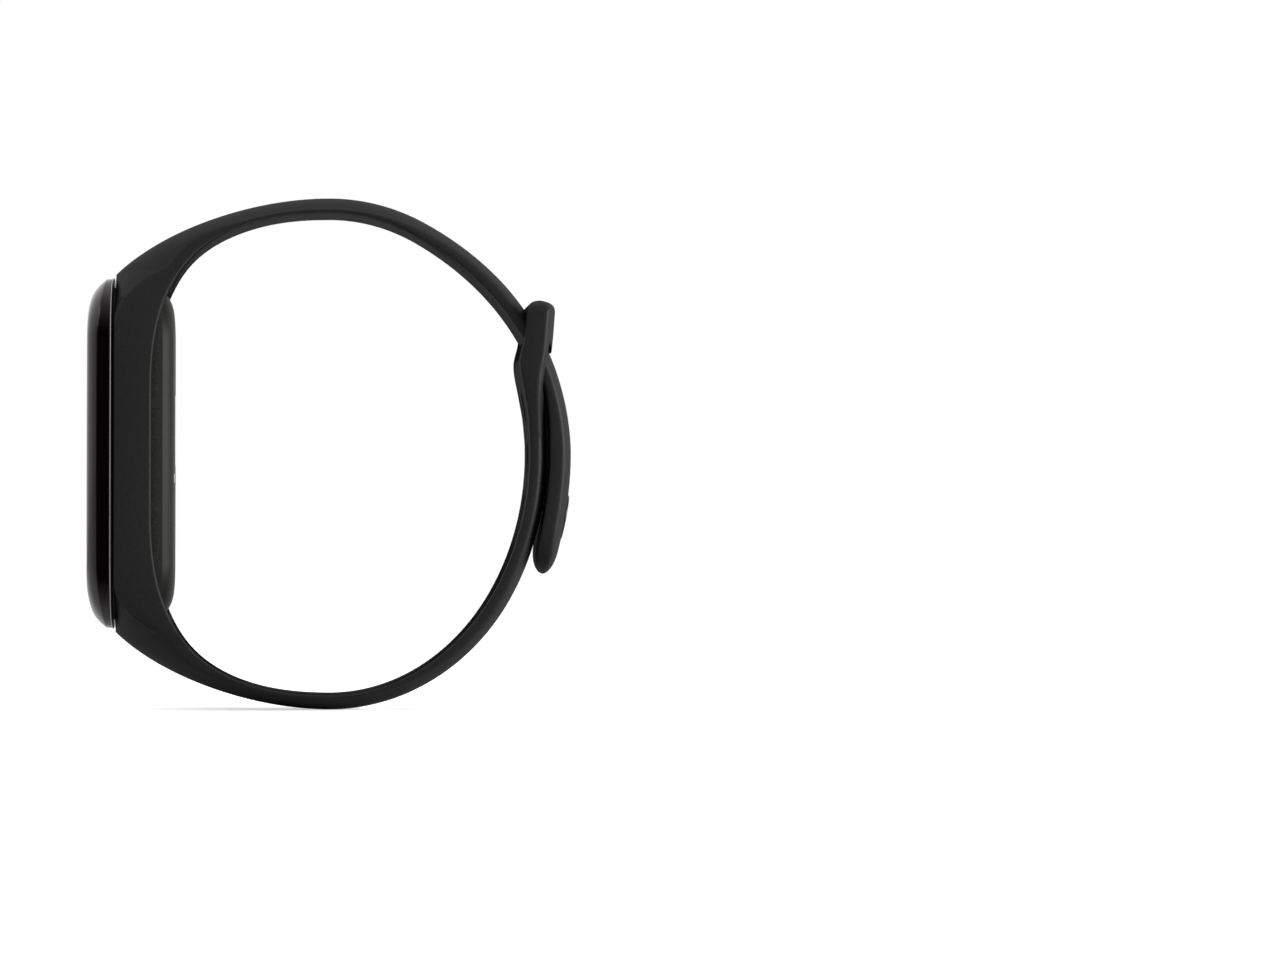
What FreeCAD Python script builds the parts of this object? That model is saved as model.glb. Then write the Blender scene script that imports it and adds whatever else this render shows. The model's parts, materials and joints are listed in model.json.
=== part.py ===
import FreeCAD, Part
import math
import os

Vec = FreeCAD.Vector

# A fitness tracker band, closed as on a wrist.  Millimetres.
# The origin is on the wrist's axis.  X runs along the wrist, Y from the display to the
# clasp, and Z up.  The display faces -Y.

# ---- overall sizes that other sizes follow ----------------------------------
capsule_length = 46.9
capsule_width = 18.6           # over the bezel ring
capsule_thickness = 11.5
strap_width = 13.5

# ---- wrist loop -------------------------------------------------------------
loop_half_height = 32.4        # wrist axis to the strap's inner face, at top and bottom
loop_half_depth = 26.5         # loop middle to the strap's inner face, on the clasp side
loop_middle_y = -2.7           # where the loop is highest

# ---- strap ------------------------------------------------------------------
arm_thickness_top = 1.9        # where the arms are highest and lowest
arm_thickness_clasp = 2.6      # where the arms lie on each other
cradle_width = capsule_width + 0.9
cradle_depth = 4.9             # front rim to back edge, at the middle
cradle_half_height = capsule_length / 2.0 + 0.45    # the front rim's corner
taper_start_z = capsule_length / 2.0 - 7.05         # the cradle's sides run straight up to here
taper_end_z = taper_start_z + 14.6                  # and reach the strap's width here
taper_blend_radius = 42.0
shoulder_rise = 0.51 * loop_half_height             # how full the inner curve to the arm is
shoulder_front_depth = 0.2     # the outer curve's first pole, as a share of its depth
shoulder_front_rise = 0.55     # and of its rise
shoulder_top_depth = 0.38      # its last pole, as a share of its depth

# ---- clasp ------------------------------------------------------------------
keeper_half_height = 19.8      # top of the keeper loop above the wrist's axis
keeper_width = strap_width + 3.7
keeper_head_radius = 1.7
keeper_bump = 1.7              # how far the keeper swells towards the wrist
keeper_proud = 0.6             # how far its head stands past the arm under it
keeper_foot_z = 2.0            # where the keeper starts to widen out of the lower arm
slot_side_clearance = 0.4
slot_face_clearance = 0.3
crossing_start = 68.0          # degrees, where the upper arm starts to lift off the loop
crossing_end = 10.0            # degrees, where it lies on the lower arm
tail_gap = 0.3                 # between the tail and the lower arm
tail_cut_angle = 26.5          # degrees, where the tail starts, inside the keeper
tail_cut_gap = 0.25
tail_end_angle = -28.3         # degrees, the tail's tip
tail_width = strap_width - 0.4
tail_tip_radius = 5.6          # the tip's corners, seen from behind
tail_tip_lift = 0.5            # how far the tip springs off the lower arm
stud_angle = -15.6             # degrees, the hole that the stud sits in
hole_pitch = 7.0
holes_above = 2
holes_below = 5
hole_width = 3.2
hole_length = 4.6
stud_pin_diameter = 2.6
stud_shank_diameter = 2.4
stud_head_diameter = 6.2
stud_head_thickness = 0.6
stud_head_proud = 0.15
stud_recess = 0.3              # the pin's end stops this far inside the arm's inner face

# ---- capsule ----------------------------------------------------------------
capsule_side_bow = 0.43        # how far the sides bow out past the round ends
capsule_end_radius = capsule_width / 2.0 - capsule_side_bow
capsule_back_y = -23.5         # the rear shell's flat face, which rests on the wrist
lens_height = 3.05
lens_wall = 1.2
lens_inset = 0.12              # the lens stands this far inside the bezel ring's outline
lens_edge_radius = 2.3
glue_thickness = 0.1
glue_width = 1.0
ring_height = 0.35
ring_width = 2.0
gasket_height = 0.15
rim_clearance = 0.15           # between the bezel ring and the cradle's front rim
housing_inset = 1.25           # the rear shell's side stands this far inside the ring
housing_wall = 1.0
housing_edge_radius = 2.6
window_clearance = 0.15        # between the rear shell and the strap's window

# ---- display and touch pad --------------------------------------------------
film_thickness = 0.1
display_width = capsule_width - 5.6
display_length = capsule_length - 18.5
display_thickness = 1.4
display_z = 1.4
view_width = display_width - 1.0
view_length = display_length - 1.4
touch_z = 6.35 - capsule_length / 2.0
touch_radius = 4.2
ribbon_thickness = 0.15
display_ribbon_width = 5.0
touch_contact_width = 1.6

# ---- frame and board --------------------------------------------------------
frame_plate = 0.6
frame_skirt_height = 0.8
frame_skirt_width = 0.8
frame_inset = 2.4
board_inset = 2.45
board_thickness = 0.8
chip_height = 0.5
can_size = (8.0, 6.5, 1.2)     # X, Z, height
can_z = capsule_length / 2.0 - 8.15
antenna_size = (5.0, 1.6, 1.0)
antenna_z = capsule_length / 2.0 - 3.85

# ---- battery ----------------------------------------------------------------
battery_width = capsule_width - 6.2
battery_length = capsule_length - 24.5
battery_thickness = 3.6
battery_z = 0.4
tape_thickness = 0.15

# ---- vibration motor --------------------------------------------------------
motor_z = 7.65 - capsule_length / 2.0
motor_radius = 4.0
motor_height = 2.7
motor_wall = 0.25
motor_base_height = 0.3
motor_shaft_radius = 0.4
motor_bore_clearance = 0.05
rotor_radius = 3.4
rotor_disc_height = 0.3
rotor_weight_height = 1.0
rotor_lift = 0.4               # running gap above the motor's base
rotor_hub_radius = 1.1

# ---- wrist sensor -----------------------------------------------------------
foam_thickness = 0.45
sensor_board_thickness = 0.4
sensor_board_size = (capsule_width - 7.6, 13.6)
sensor_board_z = 1.5
sensor_z = 3.0
sensor_window_size = (6.6, 9.6)
sensor_window_clearance = 0.05
baffle_size = (8.0, 9.0)
led_size = (1.6, 0.9, 0.5)     # X, Z, height
led_offset = 2.9
photodiode_side = 2.4
pocket_clearance = 0.2
contact_size = (2.6, 1.2)
contact_x = 3.6
contact_z = -3.4
contact_proud = 0.05
contact_pin_radius = 0.4
sensor_ribbon_width = 4.0
sensor_ribbon_x = capsule_width / 2.0 - 2.7

# ---- levels along Y, worked out from the sizes above ------------------------
lens_front_y = capsule_back_y - capsule_thickness
lens_inner_y = lens_front_y + lens_wall
lens_back_y = lens_front_y + lens_height
ring_front_y = lens_back_y + glue_thickness
ring_back_y = ring_front_y + ring_height
housing_front_y = ring_back_y + gasket_height
rim_y = ring_back_y + rim_clearance
cradle_back_y = rim_y + cradle_depth
film_back_y = lens_inner_y + film_thickness
display_front_y = film_back_y + film_thickness
display_back_y = display_front_y + display_thickness
frame_back_y = display_back_y + frame_plate
board_front_y = frame_back_y + frame_skirt_height
board_back_y = board_front_y + board_thickness
battery_front_y = board_back_y + tape_thickness
battery_back_y = battery_front_y + battery_thickness
foam_back_y = battery_back_y + foam_thickness
sensor_board_back_y = foam_back_y + sensor_board_thickness
housing_inner_y = capsule_back_y - housing_wall
motor_front_y = board_back_y
motor_back_y = motor_front_y + motor_height

tail_lift = arm_thickness_clasp + tail_gap


# ---- small tools ------------------------------------------------------------
def smooth_step(value):
    """0 below 0, 1 above 1, and a soft S between them."""
    value = min(max(value, 0.0), 1.0)
    return value * value * (3.0 - 2.0 * value)


def box(centre_x, centre_z, size_x, size_z, y_from, y_to):
    """A block centred in X and Z, from one level in Y to another."""
    corner = Vec(centre_x - size_x / 2.0, y_from, centre_z - size_z / 2.0)
    return Part.makeBox(size_x, y_to - y_from, size_z, corner)


def disc(centre_x, centre_z, radius, y_from, y_to):
    """A cylinder along Y."""
    return Part.makeCylinder(radius, y_to - y_from, Vec(centre_x, y_from, centre_z), Vec(0, 1, 0))


def rounded_wire(points, radii):
    """Straight runs between the points, each corner rounded with its own radius."""
    count = len(points)
    cut_points = []
    for i in range(count):
        here = points[i]
        back = (points[i - 1] - here).normalize()
        ahead = (points[(i + 1) % count] - here).normalize()
        half_turn = back.getAngle(ahead) / 2.0
        reach = radii[i] / math.tan(half_turn)
        bisector = (back + ahead).normalize()
        centre = here + bisector * (radii[i] / math.sin(half_turn))
        crown = centre - bisector * radii[i]
        cut_points.append((here + back * reach, crown, here + ahead * reach))
    edges = []
    for i in range(count):
        start, crown, end = cut_points[i]
        if radii[i] > 0:
            edges.append(Part.Arc(start, crown, end).toShape())
        following = cut_points[(i + 1) % count][0]
        if (following - end).Length > 1e-6:
            edges.append(Part.LineSegment(end, following).toShape())
    return Part.Wire(edges)


def prism(wire, direction):
    """The wire's flat face, pushed along the direction."""
    return Part.Face(wire).extrude(direction)


def across(wire, width):
    """An outline in the Y-Z plane, made a solid of this width about the middle plane."""
    wire.translate(Vec(-width / 2.0, 0, 0))
    return prism(wire, Vec(width, 0, 0))


def edges_at(shape, level_y):
    """The edges that lie wholly at one level in Y."""
    found = []
    for edge in shape.Edges:
        bounds = edge.BoundBox
        if abs(bounds.YMin - level_y) < 1e-4 and abs(bounds.YMax - level_y) < 1e-4:
            found.append(edge)
    return found


def save(shape, name):
    """Write one node."""
    shape.exportStep(os.path.join("parts", name + ".step"))


# ---- capsule outline --------------------------------------------------------
def capsule_wire(inset, level_y):
    """The pill outline: round ends, and sides that bow out a little, tangent to them."""
    half_width = capsule_width / 2.0 - inset
    end_radius = capsule_end_radius - inset
    end_centre = capsule_length / 2.0 - capsule_end_radius
    bow = half_width - end_radius
    side_radius = (half_width ** 2 - end_radius ** 2 + end_centre ** 2) / (2.0 * bow)
    side_centre = side_radius - half_width
    span = math.hypot(side_centre, end_centre)
    touch_x = end_radius * side_centre / span
    touch_z = end_centre + end_radius * end_centre / span
    corners = [(touch_x, -touch_z), (touch_x, touch_z), (-touch_x, touch_z), (-touch_x, -touch_z)]
    crowns = [(half_width, 0), (0, end_centre + end_radius), (-half_width, 0), (0, -end_centre - end_radius)]
    edges = []
    for i in range(4):
        start = corners[i]
        end = corners[(i + 1) % 4]
        points = [Vec(x, level_y, z) for x, z in (start, crowns[i], end)]
        edges.append(Part.Arc(*points).toShape())
    return Part.Wire(edges)


def capsule_slab(inset, y_from, y_to):
    """A slab of the capsule's outline."""
    return prism(capsule_wire(inset, y_from), Vec(0, y_to - y_from, 0))


def capsule_frame(inset, width, y_from, y_to):
    """A ring of the capsule's outline."""
    return capsule_slab(inset, y_from, y_to).cut(capsule_slab(inset + width, y_from, y_to))


def rounded_slab(inset, y_from, y_to, rounded_y, radius):
    """A slab of the capsule's outline with one rim rounded."""
    slab = capsule_slab(inset, y_from, y_to)
    return slab.makeFillet(radius, edges_at(slab, rounded_y))


def oval(size_x, size_z, centre_z, y_from, y_to):
    """A slab with a stadium outline, longer in Z."""
    radius = size_x / 2.0
    straight = size_z - size_x
    shape = box(0, centre_z, size_x, straight, y_from, y_to)
    for side in (-1, 1):
        shape = shape.fuse(disc(0, centre_z + side * straight / 2.0, radius, y_from, y_to))
    return shape.removeSplitter()


# ---- strap geometry ---------------------------------------------------------
def loop_radius(angle):
    """From the loop's middle to the lower arm's inner face; angle from +Y, in degrees."""
    turn = math.radians(angle)
    return 1.0 / math.hypot(math.cos(turn) / loop_half_depth, math.sin(turn) / loop_half_height)


def loop_point(angle, lift):
    """A point this far outside the loop's inner face."""
    turn = math.radians(angle)
    radius = loop_radius(angle) + lift
    return Vec(0, loop_middle_y + radius * math.cos(turn), radius * math.sin(turn))


def arm_lift(angle):
    """How far the upper arm's inner face has lifted off the loop, on its way over the lower arm."""
    crossing = smooth_step((crossing_start - angle) / (crossing_start - crossing_end))
    spring = max(0.0, (stud_angle / 2.0 - angle) / (stud_angle / 2.0 - tail_end_angle))
    return tail_lift * crossing + tail_tip_lift * spring ** 2


def arm_thickness(angle):
    """The strap's thickness at this angle from +Y."""
    share = smooth_step((90.0 - abs(angle)) / 50.0)
    return arm_thickness_top + (arm_thickness_clasp - arm_thickness_top) * share


def angles(first, last, step=6.0):
    """Evenly spaced angles, both ends included."""
    count = max(2, int(math.ceil(abs(last - first) / step)))
    return [first + (last - first) * i / count for i in range(count + 1)]


def spline(points):
    """A smooth curve through the points."""
    curve = Part.BSplineCurve()
    curve.interpolate(points)
    return curve.toShape()


def line(start, end):
    """A straight edge."""
    return Part.LineSegment(start, end).toShape()


def upper_strip(first, last, inner_gap=0.0, outer_gap=0.0):
    """Side outline of the upper arm between two angles, widened by the gaps."""
    inner = [loop_point(a, arm_lift(a) - inner_gap) for a in angles(first, last)]
    outer = [loop_point(a, arm_lift(a) + arm_thickness(a) + outer_gap) for a in angles(first, last)]
    edges = [spline(inner), line(inner[-1], outer[-1]), spline(outer[::-1]), line(outer[0], inner[0])]
    return Part.Wire(edges)


def lower_strip(first, last):
    """Side outline of the lower arm between two angles."""
    inner = [loop_point(a, 0) for a in angles(first, last)]
    outer = [loop_point(a, arm_thickness(a)) for a in angles(first, last)]
    edges = [spline(inner), line(inner[-1], outer[-1]), spline(outer[::-1]), line(outer[0], inner[0])]
    return Part.Wire(edges)


def shoulder_outline(side):
    """Side outline of half the cradle and its shoulder; side is 1 for the top, -1 for the bottom."""
    rim_middle = Vec(0, rim_y, 0)
    rim_corner = Vec(0, rim_y, side * cradle_half_height)
    back_middle = Vec(0, cradle_back_y, 0)
    top_inner = loop_point(side * 90.0, 0)
    top_outer = loop_point(side * 90.0, arm_thickness_top)
    depth = top_outer.y - rim_corner.y
    rise = top_outer.z - rim_corner.z
    outer_poles = [
        rim_corner,
        rim_corner + Vec(0, depth * shoulder_front_depth, rise * shoulder_front_rise),
        top_outer - Vec(0, depth * shoulder_top_depth, 0),
        top_outer,
    ]
    back_turn = Vec(0, cradle_back_y, side * (loop_half_height - 1.45 * shoulder_rise))
    inner_poles = [
        back_turn,
        back_turn + Vec(0, 0, side * shoulder_rise),
        top_inner - Vec(0, shoulder_rise, 0),
        top_inner,
    ]
    outer_curve = Part.BezierCurve()
    outer_curve.setPoles(outer_poles)
    inner_curve = Part.BezierCurve()
    inner_curve.setPoles(inner_poles)
    return Part.Wire([
        line(rim_middle, rim_corner),
        outer_curve.toShape(),
        line(top_outer, top_inner),
        inner_curve.toShape(),
        line(back_turn, back_middle),
        line(back_middle, rim_middle),
    ])


def front_outline_prism():
    """The cradle's tapering outline, seen from the front, pushed back to the loop's middle."""
    half_cradle = cradle_width / 2.0
    half_strap = strap_width / 2.0
    top = taper_end_z + taper_blend_radius / 2.0
    quarter = [(half_cradle, taper_start_z), (half_strap, taper_end_z), (half_strap, top)]
    corners = []
    for side_x, side_z, order in ((1, 1, 1), (-1, 1, -1), (-1, -1, 1), (1, -1, -1)):
        corners += [(side_x * x, side_z * z) for x, z in quarter[::order]]
    blend = taper_blend_radius
    radii = [blend, blend, 0, 0, blend, blend] * 2
    front_y = rim_y - 1.0
    points = [Vec(x, front_y, z) for x, z in corners]
    return prism(rounded_wire(points, radii), Vec(0, loop_middle_y - front_y, 0))


def keeper():
    """The keeper loop at the lower arm's end: a leaf with a slot for the upper arm."""
    inner_y = loop_middle_y + loop_half_depth
    outer_y = inner_y + arm_thickness_clasp
    bump_z = keeper_half_height - 7.4
    outline = [
        Vec(0, inner_y, keeper_foot_z),
        Vec(0, inner_y - keeper_bump, bump_z),
        Vec(0, inner_y - 0.4, bump_z + 4.0),
        Vec(0, inner_y - 0.5, keeper_half_height),
        Vec(0, outer_y + keeper_proud, keeper_half_height),
        Vec(0, outer_y - 0.2, bump_z),
        Vec(0, outer_y - 0.1, keeper_foot_z),
    ]
    radii = [0, 2.5, 2.0, keeper_head_radius, keeper_head_radius, 0, 0]
    leaf = across(rounded_wire(outline, radii), keeper_width)
    half_width = keeper_width / 2.0
    half_strap = strap_width / 2.0
    plan = [
        (-half_strap, keeper_foot_z - 1.0),
        (half_strap, keeper_foot_z - 1.0),
        (half_width, bump_z - 3.0),
        (half_width, keeper_half_height + 1.0),
        (-half_width, keeper_half_height + 1.0),
        (-half_width, bump_z - 3.0),
    ]
    plan_y = inner_y - 6.0
    plan_points = [Vec(x, plan_y, z) for x, z in plan]
    plan_radii = [0, 0, 5.0, 3.0, 3.0, 5.0]
    plan_body = prism(rounded_wire(plan_points, plan_radii), Vec(0, 12.0, 0))
    slot_width = strap_width + 2.0 * slot_side_clearance
    slot_outline = upper_strip(60.0, crossing_end / 2.0, slot_face_clearance, slot_face_clearance)
    return leaf.common(plan_body).cut(across(slot_outline, slot_width))


def arc_step(angle, distance):
    """The angle that lies this far along the lower arm's middle from another angle."""
    step = 0.05 if distance > 0 else -0.05
    travelled = 0.0
    while travelled < abs(distance):
        here = loop_point(angle, arm_thickness_clasp / 2.0)
        angle += step
        travelled += (loop_point(angle, arm_thickness_clasp / 2.0) - here).Length
    return angle


def outward_tilt(angle):
    """The turn about X that brings +Y to the loop's outward normal at this angle, in degrees."""
    turn = math.radians(angle)
    radius = loop_radius(angle)
    normal_y = radius * math.cos(turn) / loop_half_depth ** 2
    normal_z = radius * math.sin(turn) / loop_half_height ** 2
    return math.degrees(math.atan2(normal_z, normal_y))


def stand_on_loop(shape, angle, lift):
    """Take a shape built along +Y at the origin and stand it on the loop, facing out."""
    shape.rotate(Vec(0, 0, 0), Vec(1, 0, 0), outward_tilt(angle))
    shape.translate(loop_point(angle, lift))
    return shape


def strap_hole(angle):
    """One slotted hole through the lower arm."""
    depth = 3.0 * arm_thickness_clasp
    hole = oval(hole_width, hole_length, 0, -depth / 2.0, depth / 2.0)
    return stand_on_loop(hole, angle, arm_thickness_clasp / 2.0)


def strap_band():
    """The moulded strap: cradle, shoulders, both arms, keeper loop and holes."""
    shoulders = across(shoulder_outline(1), cradle_width + 2.0)
    shoulders = shoulders.fuse(across(shoulder_outline(-1), cradle_width + 2.0))
    body = shoulders.common(front_outline_prism())
    upper = across(upper_strip(90.0, tail_cut_angle), strap_width)
    lower_end = math.degrees(math.atan2(keeper_foot_z + 3.0, loop_half_depth))
    lower = across(lower_strip(-90.0, lower_end), strap_width)
    body = body.fuse([upper, lower, keeper()])
    window = capsule_slab(housing_inset - window_clearance, rim_y - 1.0, capsule_back_y + 4.0)
    body = body.cut(window)
    for number in range(-holes_above, holes_below + 1):
        body = body.cut(strap_hole(arc_step(stud_angle, -number * hole_pitch)))
    return body.removeSplitter()


def strap_tail():
    """The free end of the upper arm, from inside the keeper to its rounded tip."""
    start = tail_cut_angle - math.degrees(tail_cut_gap / loop_radius(tail_cut_angle))
    body = across(upper_strip(start, tail_end_angle - 4.0), tail_width)
    tip_z = loop_point(tail_end_angle, arm_lift(tail_end_angle)).z
    half_width = tail_width / 2.0
    top_z = keeper_half_height
    plan = [(-half_width, tip_z), (half_width, tip_z), (half_width, top_z), (-half_width, top_z)]
    plan_y = loop_middle_y + loop_half_depth - 10.0
    plan_points = [Vec(x, plan_y, z) for x, z in plan]
    plan_body = prism(rounded_wire(plan_points, [tail_tip_radius, tail_tip_radius, 0, 0]), Vec(0, 20.0, 0))
    body = body.common(plan_body)
    thickness = arm_thickness(stud_angle)
    recess = disc(0, 0, stud_head_diameter / 2.0, thickness - stud_head_thickness, thickness + 1.0)
    bore = disc(0, 0, stud_shank_diameter / 2.0, -1.0, thickness)
    return body.cut(stand_on_loop(recess.fuse(bore), stud_angle, arm_lift(stud_angle)))


def clasp_stud():
    """A rivet through the tail: head outside, shank, and the pin that the hole takes."""
    thickness = arm_thickness(stud_angle)
    pin_length = arm_lift(stud_angle) - stud_recess
    head = disc(0, 0, stud_head_diameter / 2.0, thickness - stud_head_thickness, thickness + stud_head_proud)
    head = head.makeFillet(stud_head_proud, edges_at(head, thickness + stud_head_proud))
    shank = disc(0, 0, stud_shank_diameter / 2.0, -0.1, thickness - stud_head_thickness)
    pin = disc(0, 0, stud_pin_diameter / 2.0, -pin_length, 0)
    pin = pin.makeFillet(stud_pin_diameter / 4.0, edges_at(pin, -pin_length))
    return stand_on_loop(head.fuse([shank, pin]).removeSplitter(), stud_angle, arm_lift(stud_angle))


# ---- capsule, outside -------------------------------------------------------
def front_lens():
    """The curved front cover, a shell that is open towards the display."""
    outer = rounded_slab(lens_inset, lens_front_y, lens_back_y, lens_front_y, lens_edge_radius)
    inset = lens_inset + lens_wall
    inner = rounded_slab(inset, lens_inner_y, lens_back_y, lens_inner_y, lens_edge_radius - lens_wall)
    return outer.cut(inner)


def lens_mask():
    """The black lining inside the cover, with a window for the display."""
    inset = lens_inset + lens_wall
    inner_radius = lens_edge_radius - lens_wall
    outer = rounded_slab(inset, lens_inner_y, lens_back_y, lens_inner_y, inner_radius)
    hollow_radius = inner_radius - film_thickness
    hollow = rounded_slab(inset + film_thickness, film_back_y, lens_back_y, film_back_y, hollow_radius)
    view = box(0, display_z, view_width, view_length, lens_inner_y - 1.0, film_back_y + 1.0)
    return outer.cut(hollow).cut(view)


def rear_housing():
    """The tub-shaped rear shell, open to the front."""
    outer = rounded_slab(housing_inset, housing_front_y, capsule_back_y, capsule_back_y, housing_edge_radius)
    inset = housing_inset + housing_wall
    inner_radius = housing_edge_radius - housing_wall
    inner = rounded_slab(inset, housing_front_y, housing_inner_y, housing_inner_y, inner_radius)
    size_x = sensor_window_size[0] + 2.0 * sensor_window_clearance
    size_z = sensor_window_size[1] + 2.0 * sensor_window_clearance
    shell = outer.cut(inner).cut(oval(size_x, size_z, sensor_z, housing_inner_y - 1.0, capsule_back_y + 1.0))
    size_x, size_z = contact_size
    for side in (-1, 1):
        pad = box(side * contact_x, contact_z, size_x, size_z, housing_inner_y - 1.0, capsule_back_y + 1.0)
        shell = shell.cut(pad)
    return shell


def charging_contacts():
    """Two flush pads, each with a pin down to the sensor board."""
    pads = []
    size_x, size_z = contact_size
    for side in (-1, 1):
        pad = box(side * contact_x, contact_z, size_x, size_z, housing_inner_y, capsule_back_y + contact_proud)
        pin = disc(side * contact_x, contact_z, contact_pin_radius, sensor_board_back_y, housing_inner_y)
        pads.append(pad.fuse(pin))
    return Part.makeCompound(pads)


# ---- capsule, inside --------------------------------------------------------
def display_flex():
    """The display's ribbon, folded back through the frame to the board."""
    top_z = display_z - display_length / 2.0
    low_z = top_z - 0.9
    level = display_back_y - 0.4
    half = ribbon_thickness / 2.0
    run = box(0, (top_z + low_z) / 2.0, display_ribbon_width, top_z - low_z, level - half, level + half)
    fall = box(0, low_z + half, display_ribbon_width, ribbon_thickness, level - half, board_front_y)
    foot = box(0, low_z + 1.2, display_ribbon_width, 2.4, board_front_y - ribbon_thickness, board_front_y)
    return run.fuse([fall, foot]).removeSplitter()


def touch_contact():
    """A bent leaf from the board up to the touch electrode."""
    half = ribbon_thickness / 2.0
    width = touch_contact_width
    pad_back_y = film_back_y + film_thickness
    riser_z = touch_z - 0.9
    foot = box(0, riser_z + 1.0, width, 2.0, board_front_y - ribbon_thickness, board_front_y)
    riser = box(0, riser_z + half, width, ribbon_thickness, pad_back_y, board_front_y)
    pad = box(0, riser_z + 0.8, width, 1.6, pad_back_y, pad_back_y + ribbon_thickness)
    return foot.fuse([riser, pad]).removeSplitter()


def inner_frame():
    """The plate that carries the display, with a skirt down to the board and two slots."""
    frame = capsule_slab(frame_inset, display_back_y, frame_back_y)
    frame = frame.fuse(capsule_frame(frame_inset, frame_skirt_width, frame_back_y, board_front_y))
    ribbon_z = display_z - display_length / 2.0 - 0.8
    slots = [(ribbon_z, display_ribbon_width + 1.0, 1.4), (touch_z, touch_contact_width + 1.0, 3.0)]
    for slot_z, size_x, size_z in slots:
        frame = frame.cut(box(0, slot_z, size_x, size_z, display_back_y - 1.0, frame_back_y + 0.1))
    return frame.removeSplitter()


def board_chips():
    """The chips on the board's front face; X and width are shares of the board's half width."""
    layout = [(0, 8.0, 0.88, 6.0), (-0.5, 0, 0.44, 3.0), (0.38, 0.4, 0.58, 3.2), (0, -6.2, 0.74, 2.6)]
    half = capsule_width / 2.0 - board_inset
    front = board_front_y - chip_height
    chips = [box(x * half, z, width * half, length, front, board_front_y) for x, z, width, length in layout]
    return Part.makeCompound(chips)


def motor_parts():
    """A coin motor on the board's rear face; its rotor turns on a fixed shaft."""
    base_back_y = motor_front_y + motor_base_height
    roof_y = motor_back_y - motor_wall
    disc_front_y = base_back_y + rotor_lift
    disc_back_y = disc_front_y + rotor_disc_height
    weight_back_y = disc_back_y + rotor_weight_height
    bore_radius = motor_shaft_radius + motor_bore_clearance
    base = disc(0, motor_z, motor_radius, motor_front_y, base_back_y)
    can = disc(0, motor_z, motor_radius, base_back_y, motor_back_y)
    can = can.cut(disc(0, motor_z, motor_radius - motor_wall, base_back_y, roof_y))
    shaft = disc(0, motor_z, motor_shaft_radius, base_back_y, roof_y)
    rotor = disc(0, motor_z, rotor_radius, disc_front_y, disc_back_y)
    rotor = rotor.cut(disc(0, motor_z, bore_radius, disc_front_y - 0.1, disc_back_y + 0.1))
    weight = disc(0, motor_z, rotor_radius, disc_back_y, weight_back_y)
    weight = weight.cut(disc(0, motor_z, rotor_hub_radius, disc_back_y - 0.1, weight_back_y + 0.1))
    half = 2.0 * rotor_radius
    weight = weight.cut(box(0, motor_z + half / 2.0, half + 1.0, half, disc_back_y - 0.1, weight_back_y + 0.1))
    return {
        "motor_base": base,
        "motor_can": can,
        "motor_shaft": shaft,
        "motor_disc": rotor,
        "motor_weight": weight,
    }


def sensor_parts():
    """The wrist sensor: foam, board, lights, receiver, light baffle and ribbon."""
    board_x, board_z = sensor_board_size
    parts = {}
    parts["sensor_foam"] = box(0, sensor_board_z, board_x, board_z, battery_back_y, foam_back_y)
    parts["sensor_board"] = box(0, sensor_board_z, board_x, board_z, foam_back_y, sensor_board_back_y)
    leds = []
    chip_back_y = sensor_board_back_y + led_size[2]
    baffle = box(0, sensor_z, baffle_size[0], baffle_size[1], sensor_board_back_y, housing_inner_y)
    spots = [(side * led_offset, led_size[0], led_size[1]) for side in (-1, 1)]
    for offset, size_x, size_z in spots:
        leds.append(box(0, sensor_z + offset, size_x, size_z, sensor_board_back_y, chip_back_y))
    spots.append((0, photodiode_side, photodiode_side))
    room = 2.0 * pocket_clearance
    pocket_front_y = sensor_board_back_y - 0.1
    pocket_back_y = housing_inner_y + 0.1
    for offset, size_x, size_z in spots:
        pocket = box(0, sensor_z + offset, size_x + room, size_z + room, pocket_front_y, pocket_back_y)
        baffle = baffle.cut(pocket)
    parts["sensor_leds"] = Part.makeCompound(leds)
    side = photodiode_side
    parts["photodiode"] = box(0, sensor_z, side, side, sensor_board_back_y, chip_back_y)
    parts["light_baffle"] = baffle
    window_x, window_z = sensor_window_size
    parts["sensor_window"] = oval(window_x, window_z, sensor_z, housing_inner_y, capsule_back_y)
    level = (foam_back_y + sensor_board_back_y) / 2.0
    half = ribbon_thickness / 2.0
    start_x = board_x / 2.0
    outer_x = sensor_ribbon_x + ribbon_thickness
    width = sensor_ribbon_width
    run = box((start_x + outer_x) / 2.0, sensor_board_z, outer_x - start_x, width, level - half, level + half)
    rise = box(sensor_ribbon_x + half, sensor_board_z, ribbon_thickness, width, board_back_y, level + half)
    parts["sensor_flex"] = run.fuse(rise).removeSplitter()
    return parts


def board_stack():
    """The board and what is glued or soldered to it."""
    can_x, can_length, can_height = can_size
    antenna_x, antenna_length, antenna_height = antenna_size
    tape_x = battery_width - 1.0
    tape_length = battery_length - 1.0
    return {
        "main_board": capsule_slab(board_inset, board_front_y, board_back_y),
        "board_chips": board_chips(),
        "shield_can": box(0, can_z, can_x, can_length, board_back_y, board_back_y + can_height),
        "antenna": box(0, antenna_z, antenna_x, antenna_length, board_back_y, board_back_y + antenna_height),
        "battery_tape": box(0, battery_z, tape_x, tape_length, board_back_y, battery_front_y),
        "battery_cell": box(0, battery_z, battery_width, battery_length, battery_front_y, battery_back_y),
    }


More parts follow.
